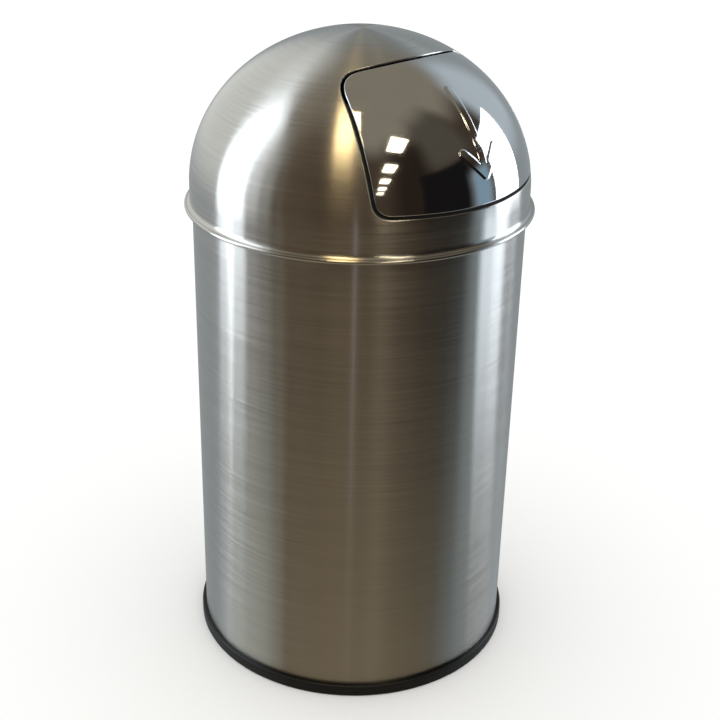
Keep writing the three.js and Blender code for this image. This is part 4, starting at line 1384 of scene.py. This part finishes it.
def degrees_of(tree, operation, *values):
    """An inverse trigonometric function's result, in degrees."""
    return maths(tree, "DEGREES", maths(tree, operation, *values))


# What the steel mirrors apart from the lights: (azimuths, elevations, softness, colour), in degrees
# from the camera's side and over level, each over the ones before it.
ROOM = (
    ((-106, 126), (-200, 200), 7, "4b3f34"),  # the room in front of the bin
    ((-106, 126), (-200, -36), 10, "a3967f"),  # floor near the bin
    ((-200, 200), (46, 200), 10, "938b7c"),  # ceiling
    ((-58, -30), (-24, 60), 10, "5e5142"),  # far wall on the left
    ((22, 92), (-34, 52), 9, "2f261f"),  # far wall on the right
    ((52, 92), (24, 60), 9, "5a5349"),  # the same wall where the ceiling lights reach it
    ((42, 80), (-30, 25), 2, "1b191a"),  # open doorway
    ((-54.5, -51), (-60, 60), 1, "75695b"),  # door frame on the left
    ((-67, -59), (-14, 45), 3, "a9aaa4"),  # reveal beside the left window
    ((-80, -68), (-14, 45), 3, "eceef0"),  # curtain beside the left window
    ((-112, -62), (-200, -30), 10, "bfc3bb"),  # floor lit by the left window
    ((72, 132), (-200, -32), 9, "9ca09d"),  # floor lit by the right window
    ((-165, -104), (-8, 60), 8, "f2f5f3"),  # light wall beside the left window
    ((120, 152), (2, 44), 8, "c9d4dc"),  # sky lit wall beside the right window
    ((79, 96), (-40, 14), 5, "8d9598"),  # wall under the blinds
    ((82, 95), (-12, 14), 3, "8fabbd"),  # blinds beside the right window
)
ROOM_TONE = "9da4a8"  # the light wall behind the bin
BACKDROP = "fdfdfc"  # what the camera and matt surfaces see in place of the room
FLOOR_HALF = 60.0  # half the side of the square floor
OVERHEAD_ENERGY = 0.75  # watts per square metre
OVERHEAD_SPREAD = math.radians(110)  # how wide the overhead light is in the sky
CEILING = 2.65  # height of the ceiling
PANEL = (0.5, 0.62)  # size of a light in it
WINDOW_DISTANCE = 3.0

# Each window or lit edge: name, azimuths in degrees from the camera's side, heights, colour and
# radiance.
WINDOWS = (
    ("Left window", (-103, -78), (-0.5, 4.2), "e2ecf6", 3.6),
    ("Gap in the left blinds", (-94.5, -92), (-0.9, 2.5), "eef4fb", 4.0),
    ("Right window", (97, 125), (-0.1, 2.1), "e6effa", 4.2),
    ("Right window on the floor", (88, 114), (-1.0, -0.1), "dde9f6", 2.3),
    ("Door frame", (-2.4, -1.6), (-0.9, 0.2), "f4f4ff", 1.1),
)

# Each row of ceiling lights: name, count, the first one's distance, the step to the next, the place
# and step to the camera's right, colour and radiance.
CEILING_ROWS = (
    ("Right ceiling light", 5, 1.6, 1.4, (1.02, 0.165), "fff0cf", 8),
    ("Left ceiling light", 2, 0.9, 0.75, (-0.27, -0.2), "ffe0a4", 6.5),
)


def make_room():
    """The room that the steel mirrors, painted by direction.

    The azimuth is atan2(x, -y) of the direction turned by the camera's azimuth, and the elevation
    is asin z. The camera and matt surfaces see a plain backdrop in its place.
    """
    world = bpy.data.worlds.new("Room")
    bpy.context.scene.world = world
    world.use_nodes = True
    tree = world.node_tree
    tree.nodes.clear()
    direction = add_node(tree, "ShaderNodeTexCoord").outputs["Generated"]
    turned_to = add_node(tree, "ShaderNodeVectorRotate", {"rotation_type": "Z_AXIS"},
                         {"Vector": direction, "Angle": -CAMERA_AZIMUTH}).outputs[0]
    split = add_node(tree, "ShaderNodeSeparateXYZ", None, {0: turned_to}).outputs
    azimuth = degrees_of(tree, "ARCTAN2", split["X"], maths(tree, "MULTIPLY", split["Y"], -1.0))
    elevation = degrees_of(tree, "ARCSINE", split["Z"])
    tone = linear(ROOM_TONE)
    for azimuths, elevations, soft, colour in ROOM:
        across, upright = band(tree, azimuth, *azimuths, soft), band(tree, elevation, *elevations, soft)
        share = maths(tree, "MULTIPLY", across, upright)
        tone = add_node(tree, "ShaderNodeMix", {"data_type": "RGBA"},
                        {0: share, 6: tone, 7: linear(colour)}).outputs[2]
    room = add_node(tree, "ShaderNodeBackground", None, {"Color": tone}).outputs[0]
    plain = add_node(tree, "ShaderNodeBackground", None, {"Color": linear(BACKDROP)}).outputs[0]
    path = add_node(tree, "ShaderNodeLightPath").outputs
    sees_plain = maths(tree, "MAXIMUM", path["Is Camera Ray"], path["Is Diffuse Ray"])
    both = add_node(tree, "ShaderNodeMixShader", None, {0: sees_plain, 1: room, 2: plain})
    add_node(tree, "ShaderNodeOutputWorld", None, {"Surface": both.outputs[0]})


def make_floor():
    """A plain floor that the camera sees and the steel doesn't, so that the steel mirrors the room."""
    corners = [[x * FLOOR_HALF, y * FLOOR_HALF, 0] for x, y in ((-1, -1), (1, -1), (1, 1), (-1, 1))]
    mesh = bpy.data.meshes.new("studio_floor")
    mesh.from_pydata(corners, [], [[0, 1, 2, 3]])
    floor = bpy.data.objects.new("studio_floor", mesh)
    floor.data.materials.append(floor_board("Studio floor"))
    floor.visible_glossy = False
    floor.visible_shadow = False
    bpy.context.scene.collection.objects.link(floor)


def make_overhead_light():
    """A very soft light from above for the floor, which the steel doesn't mirror."""
    data = bpy.data.lights.new("Overhead", "SUN")
    data.energy, data.angle = OVERHEAD_ENERGY, OVERHEAD_SPREAD
    lamp = bpy.data.objects.new("Overhead", data)
    lamp.visible_glossy = False
    bpy.context.scene.collection.objects.link(lamp)


def make_studio():
    """The floor, the lights, the room and the camera."""
    make_floor()
    make_overhead_light()
    for row in WINDOWS:
        window(*row)
    for row in CEILING_ROWS:
        ceiling_lights(*row)
    make_room()
    make_camera()
    scene = bpy.context.scene
    scene.view_settings.view_transform = "Standard"
    scene.view_settings.look = "None"


# ---------------------------------------------------------------- operators


class MakeBody(bpy.types.Operator):
    """Body tube, foot ring and bottom pan"""

    bl_idname = "receptacle.make_body"
    bl_label = "Make body"

    def execute(self, context):
        place(make_body_tube(), "body", "brushed_steel", "body_shell")
        place(make_base_ring(), "body", "black_plastic", "base_ring")
        place(make_base_pan(), "body", "zinc_steel", "base_pan")
        return {"FINISHED"}


class MakeLid(bpy.types.Operator):
    """Spun dome and seat ring"""

    bl_idname = "receptacle.make_lid"
    bl_label = "Make lid"

    def execute(self, context):
        place(make_spun_dome(), "lid", "brushed_steel", "dome_shell")
        place(make_seat_ring(), "lid", "black_plastic", "lid_seat_ring")
        return {"FINISHED"}


class MakeHinge(bpy.types.Operator):
    """Hinge brackets, pin and clips"""

    bl_idname = "receptacle.make_hinge"
    bl_label = "Make hinge"

    def execute(self, context):
        place(make_hinge_pin(), "lid", "spring_steel", "hinge_pin")
        for side, word in ((-1, "left"), (1, "right")):
            place(make_hinge_bracket(f"lug_{word}", side), "lid", "zinc_steel", f"hinge_bracket_{word}")
            place(make_pin_clip(f"clip_{word}", side), "lid", "spring_steel", f"pin_clip_{word}")
        return {"FINISHED"}


class MakeSprings(bpy.types.Operator):
    """Torsion springs that close the flap"""

    bl_idname = "receptacle.make_springs"
    bl_label = "Make springs"

    def execute(self, context):
        for side, word in ((-1, "left"), (1, "right")):
            dress(make_flap_spring(f"spring_{word}", side), "spring_steel", f"flap_spring_{word}")
        return {"FINISHED"}


class MakeFlap(bpy.types.Operator):
    """Polished flap, its liner and its strip"""

    bl_idname = "receptacle.make_flap"
    bl_label = "Make flap"

    def execute(self, context):
        place(make_flap_skin(), "flap", "polished_steel", "flap_skin")
        place(make_flap_liner(), "flap", "black_plastic", "flap_liner")
        place(make_flap_seal(), "flap", "black_rubber", "flap_seal")
        return {"FINISHED"}


class MakeBucket(bpy.types.Operator):
    """Bucket with its ears, rivets and bail"""

    bl_idname = "receptacle.make_bucket"
    bl_label = "Make bucket"

    def execute(self, context):
        place(make_pail(), "bucket", "zinc_steel", "inner_bucket")
        for side, word in ((-1, "left"), (1, "right")):
            place(make_bail_ear(f"ear_{word}", side), "bucket", "zinc_steel", f"bail_ear_{word}")
            for end in ("front", "back"):
                node = f"ear_rivet_{end}_{word}"
                place(make_ear_rivet(f"rivet_{end}_{word}", node), "bucket", "zinc_steel", node)
        place(make_bail(), "bail", "spring_steel", "bail_handle")
        return {"FINISHED"}


class MakeStudio(bpy.types.Operator):
    """Floor, light and camera"""

    bl_idname = "receptacle.make_studio"
    bl_label = "Make studio"

    def execute(self, context):
        make_studio()
        return {"FINISHED"}


OPERATORS = (MakeStudio, MakeBody, MakeLid, MakeHinge, MakeSprings, MakeFlap, MakeBucket)


class ReceptaclePanel(bpy.types.Panel):
    """The receptacle's operators, sizes and colours"""

    bl_idname = "VIEW3D_PT_receptacle"
    bl_label = "Receptacle"
    bl_space_type = "VIEW_3D"
    bl_region_type = "UI"
    bl_category = "Receptacle"

    def draw(self, context):
        for operator in OPERATORS:
            self.layout.operator(operator.bl_idname)
        for group in (context.scene.receptacle_sizes, context.scene.receptacle_colours):
            column = self.layout.column(align=True)
            for name in group.__annotations__:
                column.prop(group, name)


CLASSES = (ReceptacleSizes, ReceptacleColours) + OPERATORS + (ReceptaclePanel,)


def register():
    """Registers the classes and gives the scene its sizes and colours."""
    for item in CLASSES:
        bpy.utils.register_class(item)
    bpy.types.Scene.receptacle_sizes = bpy.props.PointerProperty(type=ReceptacleSizes)
    bpy.types.Scene.receptacle_colours = bpy.props.PointerProperty(type=ReceptacleColours)


def unregister():
    """Takes back what register gave."""
    del bpy.types.Scene.receptacle_colours
    del bpy.types.Scene.receptacle_sizes
    for item in reversed(CLASSES):
        bpy.utils.unregister_class(item)


def main():
    """Builds the receptacle in its studio."""
    register()
    for step in ("studio", "body", "lid", "hinge", "springs", "flap", "bucket"):
        getattr(bpy.ops.receptacle, f"make_{step}")()


if __name__ == "__main__":
    main()
